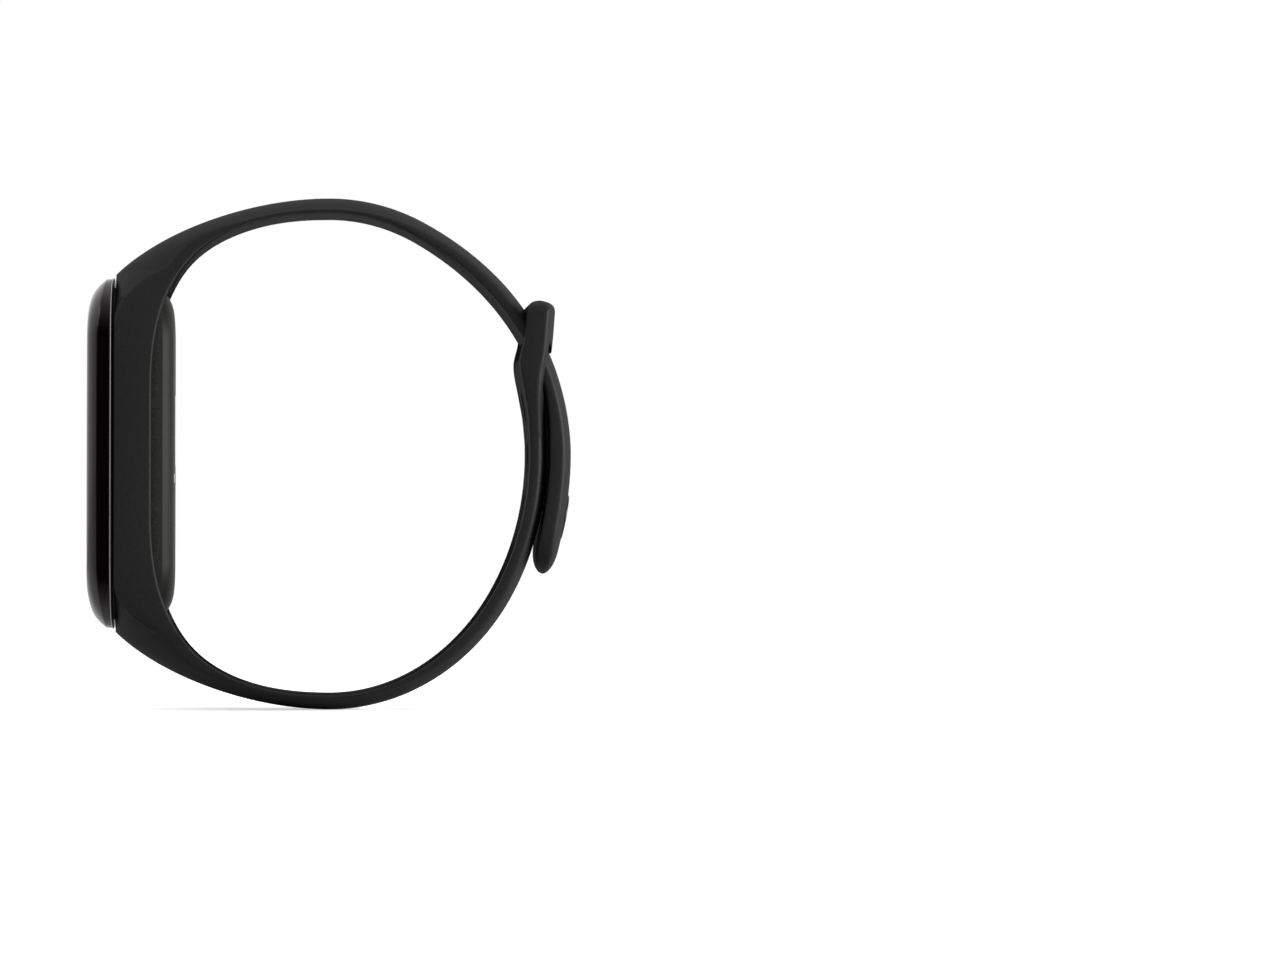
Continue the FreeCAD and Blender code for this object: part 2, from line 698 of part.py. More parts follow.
def all_parts():
    """Every node by name."""
    parts = {
        "strap_band": strap_band(),
        "strap_tail": strap_tail(),
        "clasp_stud": clasp_stud(),
        "front_lens": front_lens(),
        "lens_mask": lens_mask(),
        "lens_adhesive": capsule_frame(lens_inset, glue_width, lens_back_y, ring_front_y),
        "bezel_ring": capsule_frame(0, ring_width, ring_front_y, ring_back_y),
        "seal_gasket": capsule_frame(housing_inset, housing_wall, ring_back_y, housing_front_y),
        "rear_housing": rear_housing(),
        "charging_contacts": charging_contacts(),
        "display_adhesive": box(0, display_z, display_width, display_length, film_back_y, display_front_y),
        "display_panel": box(0, display_z, display_width, display_length, display_front_y, display_back_y),
        "display_flex": display_flex(),
        "touch_electrode": disc(0, touch_z, touch_radius, film_back_y, film_back_y + film_thickness),
        "touch_contact": touch_contact(),
        "inner_frame": inner_frame(),
    }
    parts.update(board_stack())
    parts.update(motor_parts())
    parts.update(sensor_parts())
    return parts


os.makedirs("parts", exist_ok=True)
for node, shape in all_parts().items():
    save(shape, node)
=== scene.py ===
import json
import math
from contextlib import contextmanager

import bmesh
import bpy
from mathutils import Matrix, Vector


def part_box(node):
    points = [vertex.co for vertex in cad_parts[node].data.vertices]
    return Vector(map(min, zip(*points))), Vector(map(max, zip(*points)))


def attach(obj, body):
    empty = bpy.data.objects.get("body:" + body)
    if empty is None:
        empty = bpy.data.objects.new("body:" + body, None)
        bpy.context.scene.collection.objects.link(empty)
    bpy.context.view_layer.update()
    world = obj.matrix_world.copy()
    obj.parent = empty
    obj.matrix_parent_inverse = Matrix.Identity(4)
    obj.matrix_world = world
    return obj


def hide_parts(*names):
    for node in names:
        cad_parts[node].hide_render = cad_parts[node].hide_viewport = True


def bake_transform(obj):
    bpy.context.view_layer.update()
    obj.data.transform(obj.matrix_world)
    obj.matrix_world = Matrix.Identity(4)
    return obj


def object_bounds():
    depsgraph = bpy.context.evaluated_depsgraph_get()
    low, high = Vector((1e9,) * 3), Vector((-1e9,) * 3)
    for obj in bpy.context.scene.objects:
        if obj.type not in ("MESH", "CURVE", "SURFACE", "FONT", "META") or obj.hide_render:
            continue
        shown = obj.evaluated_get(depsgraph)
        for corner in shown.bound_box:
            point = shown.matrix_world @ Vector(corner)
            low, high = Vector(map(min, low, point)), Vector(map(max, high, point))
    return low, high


# A fitness tracker band, closed as on a wrist.  The frame is in metres; the sizes below are
# in millimetres, in the same axes: X along the wrist, Y from display to clasp, Z up.

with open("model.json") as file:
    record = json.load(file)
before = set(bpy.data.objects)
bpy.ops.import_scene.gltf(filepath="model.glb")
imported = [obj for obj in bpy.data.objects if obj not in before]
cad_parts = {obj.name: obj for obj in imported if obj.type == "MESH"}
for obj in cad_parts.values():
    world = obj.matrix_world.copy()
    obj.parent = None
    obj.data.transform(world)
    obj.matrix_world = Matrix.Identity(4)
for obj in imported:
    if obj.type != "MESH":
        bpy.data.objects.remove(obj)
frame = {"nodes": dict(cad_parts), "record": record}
cad_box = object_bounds()
MM = 0.001
WELD = 1e-7                    # metres, as the next
SEAM_WELD = 2e-6


def node_box(name):
    """A node's lowest and highest corners in millimetres."""
    low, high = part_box(name)
    return [c / MM for c in low], [c / MM for c in high]


# ---- sizes taken from the frame ------------------------------------------------
STRAP_HIGH = node_box("strap_band")[1]
LENS_LOW, LENS_HIGH = node_box("front_lens")
RING_LOW, RING_HIGH = node_box("bezel_ring")
SHELL_LOW, SHELL_HIGH = node_box("rear_housing")
SENSOR_LOW, SENSOR_HIGH = node_box("sensor_window")
TOUCH_LOW, TOUCH_HIGH = node_box("touch_electrode")

# ---- the loop ----------------------------------------------------------------------
LOOP_HEIGHT = 32.4
LOOP_DEPTH = 26.5
LOOP_Y = -2.7
ARM_HALF_WIDTH = 6.75
THICK_TOP = 1.9
THICK_CLASP = 2.6
TAIL_RISE = THICK_CLASP + 0.3
CROSSING = (68.0, 10.0)        # degrees, where the upper arm lifts off and where it lands
STUD_ANGLE = -15.6
TIP_ANGLE = -29.5
TIP_SPRING = 0.5
TAIL_ANGLE = 26.5              # where the free tail begins, inside the keeper
TAIL_HALF_WIDTH = 6.55
TAIL_SINK = 0.2                # the free tail is a little fuller than the arm, inwards and outwards
TAIL_SWELL = 0.3
TIP_LENGTH = 5.6               # along the strap, over which the tip rounds off
TIP_NARROWS = 5.4              # how much narrower its very end is, on each side
NOSE_LENGTH = 3.2              # along the strap, over which the tip thins
NOSE_INNER = 0.55              # the share of the thinning on the inner face
NOSE_OUTER = 0.45              # and on the outer face
TONGUE_SPAN = 3.0              # degrees of the free end that lie hidden in the arm
TONGUE_SCALE = 0.94
TAIL_JOIN = 0.05               # degrees to either side of TAIL_ANGLE where tongue and tail end
TAIL_NARROWS = 8.0             # degrees over which the tail comes down to its own width
TAIL_FILLS = 18.0              # degrees, the angle from which it grows fuller, down to 0

# ---- the cradle --------------------------------------------------------------------
RIM_Y = RING_HIGH[1] + 0.15
CRADLE_HALF_WIDTH = STRAP_HIGH[0]
CRADLE_BACK_Y = RIM_Y + 4.9
RIM_CORNER_Z = RING_HIGH[2] + 0.45
TAPER_Z = (16.4, 31.0)
TAPER_BLEND = 4.3              # half the height over which the taper's bends are eased
SLOPE_ARC = 10.5               # radius of the line around the capsule's end where the shoulder's slope starts
SLOPE_REACH = SLOPE_ARC - 2.5  # half width past which that line runs straight
SLOPE_FADE = 7.0               # height over which the early start fades out
SLOPE_EASE = (2.6, 6.0)        # how far its corner is eased, and the half width where that is reached
SHOULDER_START = (0.2, 0.55)   # the outer curve's second pole, as shares of its depth and rise
SHOULDER_TOP = 0.38            # its third pole, as a share of its depth
SHOULDER_FULLNESS = 0.51 * LOOP_HEIGHT
SHOULDER_TURN = 1.45           # where the inner curve starts below the loop's top, in fullnesses
SHOULDER_PAIR = 0.27           # the share of the inner curve that lies behind the rim
CROWN_STARTS = (17.0, 14.0)    # height where the cradle starts to crown, and over what height
BOW_STARTS = (24.0, 8.0)       # the same for its bent-in sides

# ---- the section of the strap ------------------------------------------------------
CROWN_TOP = 1.6                # how far the outer face falls from its middle to its sides
CROWN_CLASP = 1.2
STRAP_BOW = 0.5                # how far the strap's sides bend in, at the loop's top
CROWN_POWER = 2.6
EDGE_INNER = 0.35
EDGE_OUTER = 0.75
EDGE_SHARE = 0.3               # the most of the thickness that an eased edge takes
CROWN_SHARE = 0.82             # and that the crown takes

# ---- the keeper --------------------------------------------------------------------
KEEPER_TOP_Z = 20.4
KEEPER_HALF_WIDTH = 8.6
KEEPER_FOOT_Z = 2.0
KEEPER_HEAD_RADIUS = 1.7
KEEPER_INNER = [(2.0, 23.75), (5.0, 23.5), (8.0, 23.0), (12.2, 22.35), (15.2, 22.95), (19.9, 23.4)]
KEEPER_OUTER = [(2.0, 26.35), (6.0, 26.2), (10.0, 26.35), (14.0, 27.0), (19.9, 27.5)]
SLOT_GAP = 0.3
SLOT_SIDE_GAP = 0.4
SLOT_ANGLES = (60.0, 7.0)
SLOT_OPENS = (4.0, 14.0)       # degrees where the gap under the arm starts, and over how many
KEEPER_WIDENS = (0.5, 10.0)    # height where the arm starts to widen, and over what height
KEEPER_SWELLS = (4.0, 10.0)    # the same for its crown
KEEPER_CROWN = 1.25
KEEPER_HEAD_NARROWS = 2.2      # at the head's very end, on each side
KEEPER_HEAD_POWER = 2.8        # how square the head's curve is
KEEPER_HEAD_CROWN = 0.6        # the share of the crown left at the head's end

# ---- the stud ----------------------------------------------------------------------
STUD_PROUD = 0.06              # the head's rim over the tail's face
STUD_HEAD_RADIUS = 3.1
STUD_HEAD_DEPTH = 0.62         # from the tail's face in to the head's underside
STUD_EDGE = 0.2
STUD_DOME = [(2.4, 0.02), (1.6, 0.05), (0.8, 0.065), (0.05, 0.07)]   # radius, height over the rim
STUD_SHANK_RADIUS = 1.2
STUD_PIN_EDGE = 0.65           # the round of the pin's end
STUD_PIN_GAP = 0.3             # from the pin's end to the lower arm's inner face

# ---- the holes ---------------------------------------------------------------------
HOLE_PITCH = 7.0
HOLES_ABOVE = 2
HOLES_BELOW = 5
HOLE_WIDTH = 3.2
HOLE_LENGTH = 4.6

# ---- the capsule -------------------------------------------------------------------
PILL_HALF_LENGTH = RING_HIGH[2]
PILL_HALF_WIDTH = RING_HIGH[0]
PILL_END_RADIUS = PILL_HALF_WIDTH - 0.43
SHELL_INSET = PILL_HALF_WIDTH - SHELL_HIGH[0]
LENS_INSET = PILL_HALF_WIDTH - LENS_HIGH[0]
WINDOW_GAP = 0.15              # between the shell and the strap's window
# How the cover's and the shell's faces fall at their sides and ends: (fall, reach, power).
LENS_SIDE = (1.4, 3.0, 2.9)
LENS_END = (2.5, 7.5, 4.2)
SHELL_SIDE = (1.5, 3.2, 3.0)
SHELL_END = (2.3, 7.5, 5.0)
FACE_RINGS = 46                # rings of points over such a face
FACE_CROWDING = 1.35           # how closely they stand towards its edge
SMOOTH_BACK = (1.4, 0.5)       # depth of the shell's smooth back, and over what depth texture starts
RING_WALL = 1.9
HIGHLIGHT_FACING = -0.4              # faces that look further forwards than this get a painted highlight in bright metal
TOUCH_DIP = 0.22
TOUCH_RADIUS = 4.6
TOUCH_EDGE = 0.5
TOUCH_PAINTED_SHADE = (0.75, 0.12)     # how grey the touch pad is at its lower and upper edge: painted shading, lighter below
PRINT_LIFT = 0.012             # the lit segments' height over the cover's face
DOT_PITCH = 0.11               # between the display's dots
TIME_HEIGHT = 5.9
TIME_LINE = 0.78
DATE_HEIGHT = 2.0
DATE_LINE = 0.36


# ---- small tools -------------------------------------------------------------------
def smooth_step(value):
    """0 below 0, 1 above 1, and a soft S between them."""
    value = min(max(value, 0.0), 1.0)
    return value * value * (3.0 - 2.0 * value)


def mix(first, second, share):
    """A value between two, by share."""
    return first + (second - first) * share


def through(knots, at):
    """A smooth curve's value through a few (place, value) knots."""
    last = len(knots) - 1
    at = min(max(at, knots[0][0]), knots[last][0])
    i = max(k for k in range(last) if knots[k][0] <= at)

    def slope(k):
        low, high = max(k - 1, 0), min(k + 1, last)
        return (knots[high][1] - knots[low][1]) / (knots[high][0] - knots[low][0])

    width = knots[i + 1][0] - knots[i][0]
    t = (at - knots[i][0]) / width
    start, end = knots[i][1], knots[i + 1][1]
    pull = slope(i) * width * (t ** 3 - 2 * t ** 2 + t) + slope(i + 1) * width * (t ** 3 - t ** 2)
    return start + (end - start) * t * t * (3 - 2 * t) + pull


def steps(first, last, count):
    """Evenly spaced values, both ends included."""
    return [first + (last - first) * i / count for i in range(count + 1)]


def place_object(name, data):
    """A new object in the scene, from a mesh, curve, lamp or camera."""
    placed = bpy.data.objects.new(name, data)
    bpy.context.scene.collection.objects.link(placed)
    return placed


@contextmanager
def editing(mesh):
    """Opens a mesh for work on its faces, and writes it back."""
    work = bmesh.new()
    work.from_mesh(mesh)
    yield work
    work.to_mesh(mesh)
    work.free()


def new_piece(name, points, faces, material, sharp_angle=None):
    """A mesh object from points in millimetres, with its faces turned outwards."""
    mesh = bpy.data.meshes.new(name)
    mesh.from_pydata([Vector(p) * MM for p in points], [], faces)
    piece = place_object(name, mesh)
    with editing(mesh) as work:
        bmesh.ops.remove_doubles(work, verts=work.verts, dist=WELD)
        bmesh.ops.recalc_face_normals(work, faces=work.faces)
    shade(piece, sharp_angle)
    if material:
        mesh.materials.append(material)
    return piece


def shade(piece, sharp_angle=None):
    """Smooth shading, with edges kept sharp past an angle in degrees."""
    for polygon in piece.data.polygons:
        polygon.use_smooth = True
    if sharp_angle is not None:
        piece.data.set_sharp_from_angle(angle=math.radians(sharp_angle))


def skin(loops, closed=True):
    """Points and faces over a row of closed loops that have the same number of points."""
    size = len(loops[0])
    points = [p for loop in loops for p in loop]
    faces = []
    for row in range(len(loops) - 1):
        for i in range(size):
            j = (i + 1) % size
            near, far = row * size, (row + 1) * size
            faces.append((near + i, near + j, far + j, far + i))
    if closed:
        faces.append(tuple(range(size)))
        faces.append(tuple(range(len(points) - size, len(points))))
    return points, faces


def apply_boolean(piece, other, operation):
    """Cut or join another mesh and remove it.  Triangles go in, so that a cut face is never bent."""
    with editing(piece.data) as work:
        bmesh.ops.triangulate(work, faces=work.faces)
    modifier = piece.modifiers.new("boolean", "BOOLEAN")
    modifier.operation = operation
    modifier.solver = "EXACT"
    modifier.object = other
    bake_modifiers(piece)
    bpy.data.objects.remove(other)


def bake_modifiers(piece):
    """The piece's evaluated mesh becomes its own."""
    graph = bpy.context.evaluated_depsgraph_get()
    graph.update()
    mesh = bpy.data.meshes.new_from_object(piece.evaluated_get(graph))
    piece.modifiers.clear()
    piece.data = mesh


def join(pieces, name):
    """Several pieces as one, with points that meet made one."""
    work = bmesh.new()
    for piece in pieces:
        work.from_mesh(piece.data)
    bmesh.ops.remove_doubles(work, verts=work.verts, dist=SEAM_WELD)
    bmesh.ops.dissolve_degenerate(work, edges=work.edges, dist=SEAM_WELD)
    material = pieces[0].data.materials[0] if pieces[0].data.materials else None
    mesh = bpy.data.meshes.new(name)
    work.to_mesh(mesh)
    work.free()
    if material:
        mesh.materials.append(material)
    for piece in pieces:
        bpy.data.objects.remove(piece)
    return place_object(name, mesh)


# ---- materials ---------------------------------------------------------------------
def colour(hex_text):
    """An sRGB hex colour as linear RGBA."""
    channels = [int(hex_text[i:i + 2], 16) / 255.0 for i in (1, 3, 5)]
    linear = [c / 12.92 if c <= 0.04045 else ((c + 0.055) / 1.055) ** 2.4 for c in channels]
    return (*linear, 1.0)


# The Mix node's colour sockets by place, because they share their names with its other sockets.
MIX_FACTOR, MIX_A, MIX_B = 0, 6, 7
MIX_RESULT = 2


def add(tree, kind, settings=None, links=None):
    """Add a node with its settings; each link runs from an output to one of its inputs."""
    node = tree.nodes.new(kind)
    for key, value in (settings or {}).items():
        if isinstance(key, str) and hasattr(node, key):
            setattr(node, key, value)
        else:
            node.inputs[key].default_value = value
    for key, output in (links or {}).items():
        tree.links.new(output, node.inputs[key])
    return node


def new_material(name, settings):
    """A Principled material; returns it with its tree and shader."""
    material = bpy.data.materials.new(name)
    material.use_nodes = True
    tree = material.node_tree
    shader = tree.nodes["Principled BSDF"]
    for key, value in settings.items():
        shader.inputs[key].default_value = value
    return material, tree, shader


def speckle(tree, shader, scale_mm, dark, light, depth):
    """Fine grain: colour drift and bump at one real grain size.  Returns both nodes."""
    place = add(tree, "ShaderNodeTexCoord")
    grain = add(tree, "ShaderNodeTexNoise", {"Scale": 1.0 / (scale_mm * MM), "Detail": 4.0, "Roughness": 0.6},
                {"Vector": place.outputs["Object"]})
    ramp = add(tree, "ShaderNodeValToRGB", links={"Fac": grain.outputs["Fac"]})
    ramp.color_ramp.elements[0].position = 0.35
    ramp.color_ramp.elements[0].color = colour(dark)
    ramp.color_ramp.elements[1].position = 0.7
    ramp.color_ramp.elements[1].color = colour(light)
    bump = add(tree, "ShaderNodeBump", {"Strength": 0.35, "Distance": depth * MM},
               {"Height": grain.outputs["Fac"]})
    tree.links.new(ramp.outputs["Color"], shader.inputs["Base Color"])
    return grain, bump


def soft_edges(tree, shader, bump, radius_mm):
    """Moulded edges catch light: the normal is eased over a small radius."""
    bevel = add(tree, "ShaderNodeBevel", {"samples": 6, "Radius": radius_mm * MM})
    tree.links.new(bevel.outputs["Normal"], bump.inputs["Normal"])
    tree.links.new(bump.outputs["Normal"], shader.inputs["Normal"])


def silicone_rubber():
    """Black silicone, compression moulded in a blasted tool: matt, with a dull soft sheen."""
    material, tree, shader = new_material("silicone_moulded_black", {"IOR": 1.41})
    facing = add(tree, "ShaderNodeLayerWeight", {"Blend": 0.5})
    sheen = add(tree, "ShaderNodeMapRange",
                {"From Min": 0.45, "From Max": 0.95, "To Min": 0.13, "To Max": 0.0},
                {"Value": facing.outputs["Facing"]})
    tree.links.new(sheen.outputs["Result"], shader.inputs["Specular IOR Level"])
    grain, bump = speckle(tree, shader, 0.35, "#161616", "#1C1C1C", 0.004)
    rough = add(tree, "ShaderNodeMapRange", {"To Min": 0.44, "To Max": 0.58}, {"Value": grain.outputs["Fac"]})
    tree.links.new(rough.outputs["Result"], shader.inputs["Roughness"])
    soft_edges(tree, shader, bump, 0.18)
    return material


def smoked_cover():
    """Smoked acrylic, injection moulded and hard coated: deep black, glossy where it curves away."""
    material, tree, shader = new_material("acrylic_smoked_moulded", {
        "IOR": 1.49, "Specular Tint": colour("#FFF3F5"),
    })
    place = add(tree, "ShaderNodeTexCoord")
    haze = add(tree, "ShaderNodeTexNoise", {"Scale": 1.0 / (3.0 * MM), "Detail": 3.0},
               {"Vector": place.outputs["Object"]})
    tone = add(tree, "ShaderNodeValToRGB", links={"Fac": haze.outputs["Fac"]})
    tone.color_ramp.elements[0].color = colour("#040103")
    tone.color_ramp.elements[1].color = colour("#070204")
    # The grey disc over the touch pad carries painted shading: lighter towards its lower edge, darker towards
    # its upper.
    touch = add(tree, "ShaderNodeAttribute", {"attribute_name": "touch"})
    base = add(tree, "ShaderNodeMix", {"data_type": "RGBA", MIX_B: colour("#303030")},
               {MIX_FACTOR: touch.outputs["Fac"], MIX_A: tone.outputs["Color"]})
    rough = add(tree, "ShaderNodeMapRange", {"To Min": 0.12, "To Max": 0.18}, {"Value": haze.outputs["Fac"]})
    facing = add(tree, "ShaderNodeLayerWeight", {"Blend": 0.35})
    gloss = add(tree, "ShaderNodeMapRange",
                {"From Min": 0.02, "From Max": 0.3, "To Min": 0.01, "To Max": 0.55},
                {"Value": facing.outputs["Facing"]})
    tree.links.new(base.outputs[MIX_RESULT], shader.inputs["Base Color"])
    tree.links.new(rough.outputs["Result"], shader.inputs["Roughness"])
    tree.links.new(gloss.outputs["Result"], shader.inputs["Specular IOR Level"])
    return material


def bezel_metal():
    """Aluminium, dark, with a painted highlight: a dark ring with a thin bright line where its faces look
    forwards.
    """
    material, tree, shader = new_material("aluminium_dark_painted_edge_highlight", {
        "Metallic": 1.0, "Roughness": 0.2,
    })
    _, bump = speckle(tree, shader, 0.2, "#A39C9E", "#BDB6B8", 0.001)
    # The cut mask paints the highlight: bright metal where faces look forwards, dark on the rest.
    cut = add(tree, "ShaderNodeAttribute", {"attribute_name": "cut"})
    bright = shader.inputs["Base Color"].links[0].from_socket
    tone = add(tree, "ShaderNodeMix", {"data_type": "RGBA", MIX_A: colour("#161315")},
               {MIX_FACTOR: cut.outputs["Fac"], MIX_B: bright})
    tree.links.new(tone.outputs[MIX_RESULT], shader.inputs["Base Color"])
    tree.links.new(bump.outputs["Normal"], shader.inputs["Normal"])
    return material


def shell_plastic():
    """Polycarbonate, spark-eroded texture on its sides and smooth on its back: charcoal, dull."""
    material, tree, shader = new_material("polycarbonate_moulded_charcoal", {
        "IOR": 1.58, "Specular IOR Level": 0.1,
    })
    place = add(tree, "ShaderNodeTexCoord")
    spark = add(tree, "ShaderNodeTexVoronoi", {"Scale": 1.0 / (0.22 * MM)},
                {"Vector": place.outputs["Object"]})
    texture = add(tree, "ShaderNodeAttribute", {"attribute_name": "texture"})
    height = add(tree, "ShaderNodeMath", {"operation": "MULTIPLY"},
                 {0: spark.outputs["Distance"], 1: texture.outputs["Fac"]})
    tone = add(tree, "ShaderNodeValToRGB", links={"Fac": height.outputs["Value"]})
    tone.color_ramp.elements[0].color = colour("#100F0D")
    tone.color_ramp.elements[1].position = 0.8
    tone.color_ramp.elements[1].color = colour("#2E2D2A")
    tree.links.new(tone.outputs["Color"], shader.inputs["Base Color"])
    bump = add(tree, "ShaderNodeBump", {"Strength": 0.6, "Distance": 0.02 * MM},
               {"Height": height.outputs["Value"]})
    tree.links.new(bump.outputs["Normal"], shader.inputs["Normal"])
    rough = add(tree, "ShaderNodeMapRange", {"To Min": 0.55, "To Max": 0.7},
                {"Value": texture.outputs["Fac"]})
    tree.links.new(rough.outputs["Result"], shader.inputs["Roughness"])
    return material


def grained(name, dark, light, scale_mm, settings, depth=0.002):
    """A material with its own grain, for parts that only need their common finish."""
    material, tree, shader = new_material(name, settings)
    _, bump = speckle(tree, shader, scale_mm, dark, light, depth)
    tree.links.new(bump.outputs["Normal"], shader.inputs["Normal"])
    return material


def lit_segment(name, hex_text, strength):
    """Organic light-emitting dots under the cover: a glow that is brightest at each dot's middle."""
    material, tree, shader = new_material(name, {
        "Base Color": colour("#050505"), "Roughness": 0.1, "Specular IOR Level": 0.1,
        "Emission Color": colour(hex_text),
    })
    place = add(tree, "ShaderNodeTexCoord")
    dots = add(tree, "ShaderNodeTexVoronoi", {"Scale": 1.0 / (DOT_PITCH * MM), "Randomness": 0.0},
               {"Vector": place.outputs["Object"]})
    glow = add(tree, "ShaderNodeMapRange",
               {"From Max": 0.7, "To Min": strength * 1.08, "To Max": strength * 0.9},
               {"Value": dots.outputs["Distance"]})
    tree.links.new(glow.outputs["Result"], shader.inputs["Emission Strength"])
    return material


# ---- the strap's side profile ------------------------------------------------------
def loop_radius(angle):
    """From the loop's middle to the lower arm's inner face; angle from +Y, in degrees."""
    turn = math.radians(angle)
    return 1.0 / math.hypot(math.cos(turn) / LOOP_DEPTH, math.sin(turn) / LOOP_HEIGHT)


def loop_point(angle, lift):
    """(Y, Z) this far outside the loop's inner face."""
    turn = math.radians(angle)
    radius = loop_radius(angle) + lift
    return Vector((LOOP_Y + radius * math.cos(turn), radius * math.sin(turn)))


def arm_lift(angle):
    """How far the upper arm's inner face has lifted off the loop."""
    crossing = smooth_step((CROSSING[0] - angle) / (CROSSING[0] - CROSSING[1]))
    spring = max(0.0, (STUD_ANGLE / 2.0 - angle) / (STUD_ANGLE / 2.0 - TIP_ANGLE))
    return TAIL_RISE * crossing + TIP_SPRING * spring ** 2


def clasp_share(angle):
    """0 at the loop's top and bottom, 1 at the clasp."""
    return smooth_step((90.0 - abs(angle)) / 50.0)


def arm_thickness(angle):
    """The strap's thickness at this angle."""
    return mix(THICK_TOP, THICK_CLASP, clasp_share(angle))


def bezier(poles, t):
    """A point on a cubic curve."""
    s = 1.0 - t
    return poles[0] * s ** 3 + poles[1] * 3 * s * s * t + poles[2] * 3 * s * t * t + poles[3] * t ** 3


def shoulder_poles():
    """The outer and inner curves from the cradle's rim and back to the loop's top."""
    top_inner = loop_point(90.0, 0.0)
    top_outer = loop_point(90.0, THICK_TOP)
    corner = Vector((RIM_Y, RIM_CORNER_Z))
    depth = top_outer.x - corner.x
    rise = top_outer.y - corner.y
    outer = [
        corner,
        corner + Vector((SHOULDER_START[0] * depth, SHOULDER_START[1] * rise)),
        top_outer - Vector((SHOULDER_TOP * depth, 0.0)),
        top_outer,
    ]
    fullness = SHOULDER_FULLNESS
    turn = Vector((CRADLE_BACK_Y, LOOP_HEIGHT - SHOULDER_TURN * fullness))
    inner = [turn, turn + Vector((0.0, fullness)), top_inner - Vector((fullness, 0.0)), top_inner]
    return outer, inner


def half_width_at(y, z):
    """The cradle's tapering half width, seen from the front."""
    if y > LOOP_Y:
        return ARM_HALF_WIDTH
    start, end = TAPER_Z
    slope = (CRADLE_HALF_WIDTH - ARM_HALF_WIDTH) / (end - start)

    def eased(past):
        """The length past a bend, with the bend eased."""
        if past < -TAPER_BLEND:
            return 0.0
        if past > TAPER_BLEND:
            return past
        return (past + TAPER_BLEND) ** 2 / (4.0 * TAPER_BLEND)

    return CRADLE_HALF_WIDTH - slope * (eased(abs(z) - start) - eased(abs(z) - end))


def section(inner, outer, width_at, crown, bow=0.0):
    """One closed cross section of the strap, from its inner and outer points in the side profile."""
    thickness = (outer - inner).length
    out = (outer - inner) / thickness
    width = width_at(*outer)
    edge_in = min(EDGE_INNER, thickness * EDGE_SHARE)
    edge_out = min(EDGE_OUTER, thickness * EDGE_SHARE)
    crown = min(crown, thickness * CROWN_SHARE)

    def fall(x):
        """How far the outer face lies below its middle."""
        return crown * (abs(x) / width) ** CROWN_POWER

    shoulder = thickness - fall(width - edge_out)
    wall_top = max(thickness - crown - edge_out * 0.7, edge_in)
    half = [(x, 0.0) for x in steps(0.0, width - edge_in, 4)]
    for turn in steps(-90.0, 0.0, 4)[1:]:
        angle = math.radians(turn)
        half.append((width - edge_in + edge_in * math.cos(angle), edge_in + edge_in * math.sin(angle)))
    half += [(width, mix(edge_in, wall_top, share)) for share in (0.5, 1.0)]
    # The outer edge is a curve from the side wall into the crown, which leans where it meets it.
    lean = crown * CROWN_POWER / width
    poles = [
        Vector((width, wall_top)),
        Vector((width, mix(wall_top, shoulder, 0.6))),
        Vector((width - edge_out * 0.45, shoulder - lean * edge_out * 0.5)),
        Vector((width - edge_out, shoulder)),
    ]
    half += [tuple(bezier(poles, t)) for t in steps(0.0, 1.0, 5)[1:]]
    half += [(x, thickness - fall(x)) for x in steps(width - edge_out, 0.0, 10)[1:]]
    loop = []
    for side, points in ((1, half), (-1, half[-2:0:-1])):
        for x, height in points:
            y, z = inner + out * (height - bow * (x / width) ** 2)
            loop.append((side * x * width_at(y, z) / width, y, z))
    return loop


def plain_width(half_width):
    """A half width that stays the same."""
    return lambda y, z: half_width


def bow_at(side):
    """How far the strap's sides bend in towards the wrist, above (side > 0) and below the loop's middle."""
    return STRAP_BOW if side > 0.0 else 0.4 * STRAP_BOW


def arm_section(angle, lift):
    """A section of an arm at an angle of the loop."""
    inner = loop_point(angle, lift)
    outer = loop_point(angle, lift + arm_thickness(angle))
    crown = mix(CROWN_TOP, CROWN_CLASP, clasp_share(angle))
    bow = mix(bow_at(angle), 0.0, clasp_share(angle))
    return section(inner, outer, plain_width(ARM_HALF_WIDTH), crown, bow)


def walk(points, share):
    """The point at a share of the way along a row of points."""
    lengths = [(b - a).length for a, b in zip(points, points[1:])]
    left = share * sum(lengths)
    for a, b, length in zip(points, points[1:], lengths):
        if left <= length:
            return a + (b - a) * (left / length)
        left -= length
    return points[-1]


def cradle_sections():
    """Sections from the loop's top, down over the cradle, to just before the loop's bottom."""
    outer, inner = shoulder_poles()
    inner_run = [Vector((CRADLE_BACK_Y, 0.0))] + [bezier(inner, t) for t in steps(0.0, SHOULDER_PAIR, 12)]
    upper = []
    for t in steps(1.0, 0.0, 56)[1:]:
        upper.append((bezier(inner, mix(SHOULDER_PAIR, 1.0, t)), bezier(outer, t)))
    for share in steps(1.0, 0.0, 34)[1:]:
        upper.append((walk(inner_run, share), Vector((RIM_Y, RIM_CORNER_Z * share))))
    flip = Vector((1.0, -1.0))
    lower = [(a * flip, b * flip) for a, b in upper[-2::-1]]
    front = [(abs(b.y), b.x) for a, b in reversed(upper)]
    loops = []
    for a, b in upper + lower:
        crown = CROWN_TOP * smooth_step((abs(b.y) - CROWN_STARTS[0]) / CROWN_STARTS[1])
        bow = bow_at(b.y) * smooth_step((abs(b.y) - BOW_STARTS[0]) / BOW_STARTS[1])
        depth = (b - a).length
        loop = []
        for x, y, z in section(a, b, half_width_at, crown, bow):
            outward = ((Vector((y, z)) - a).dot(b - a)) / depth ** 2
            loop.append((x, y + outward * early_slope(front, x, z), z))
        loops.append(loop)
    return loops


def level_at(front, z):
    """The front outline's Y at a height, from its (height, Y) points."""
    for (low, start), (high, end) in zip(front, front[1:]):
        if low <= z <= high:
            return mix(start, end, (z - low) / max(high - low, 1e-9))
    return front[0][1] if z < front[0][0] else front[-1][1]


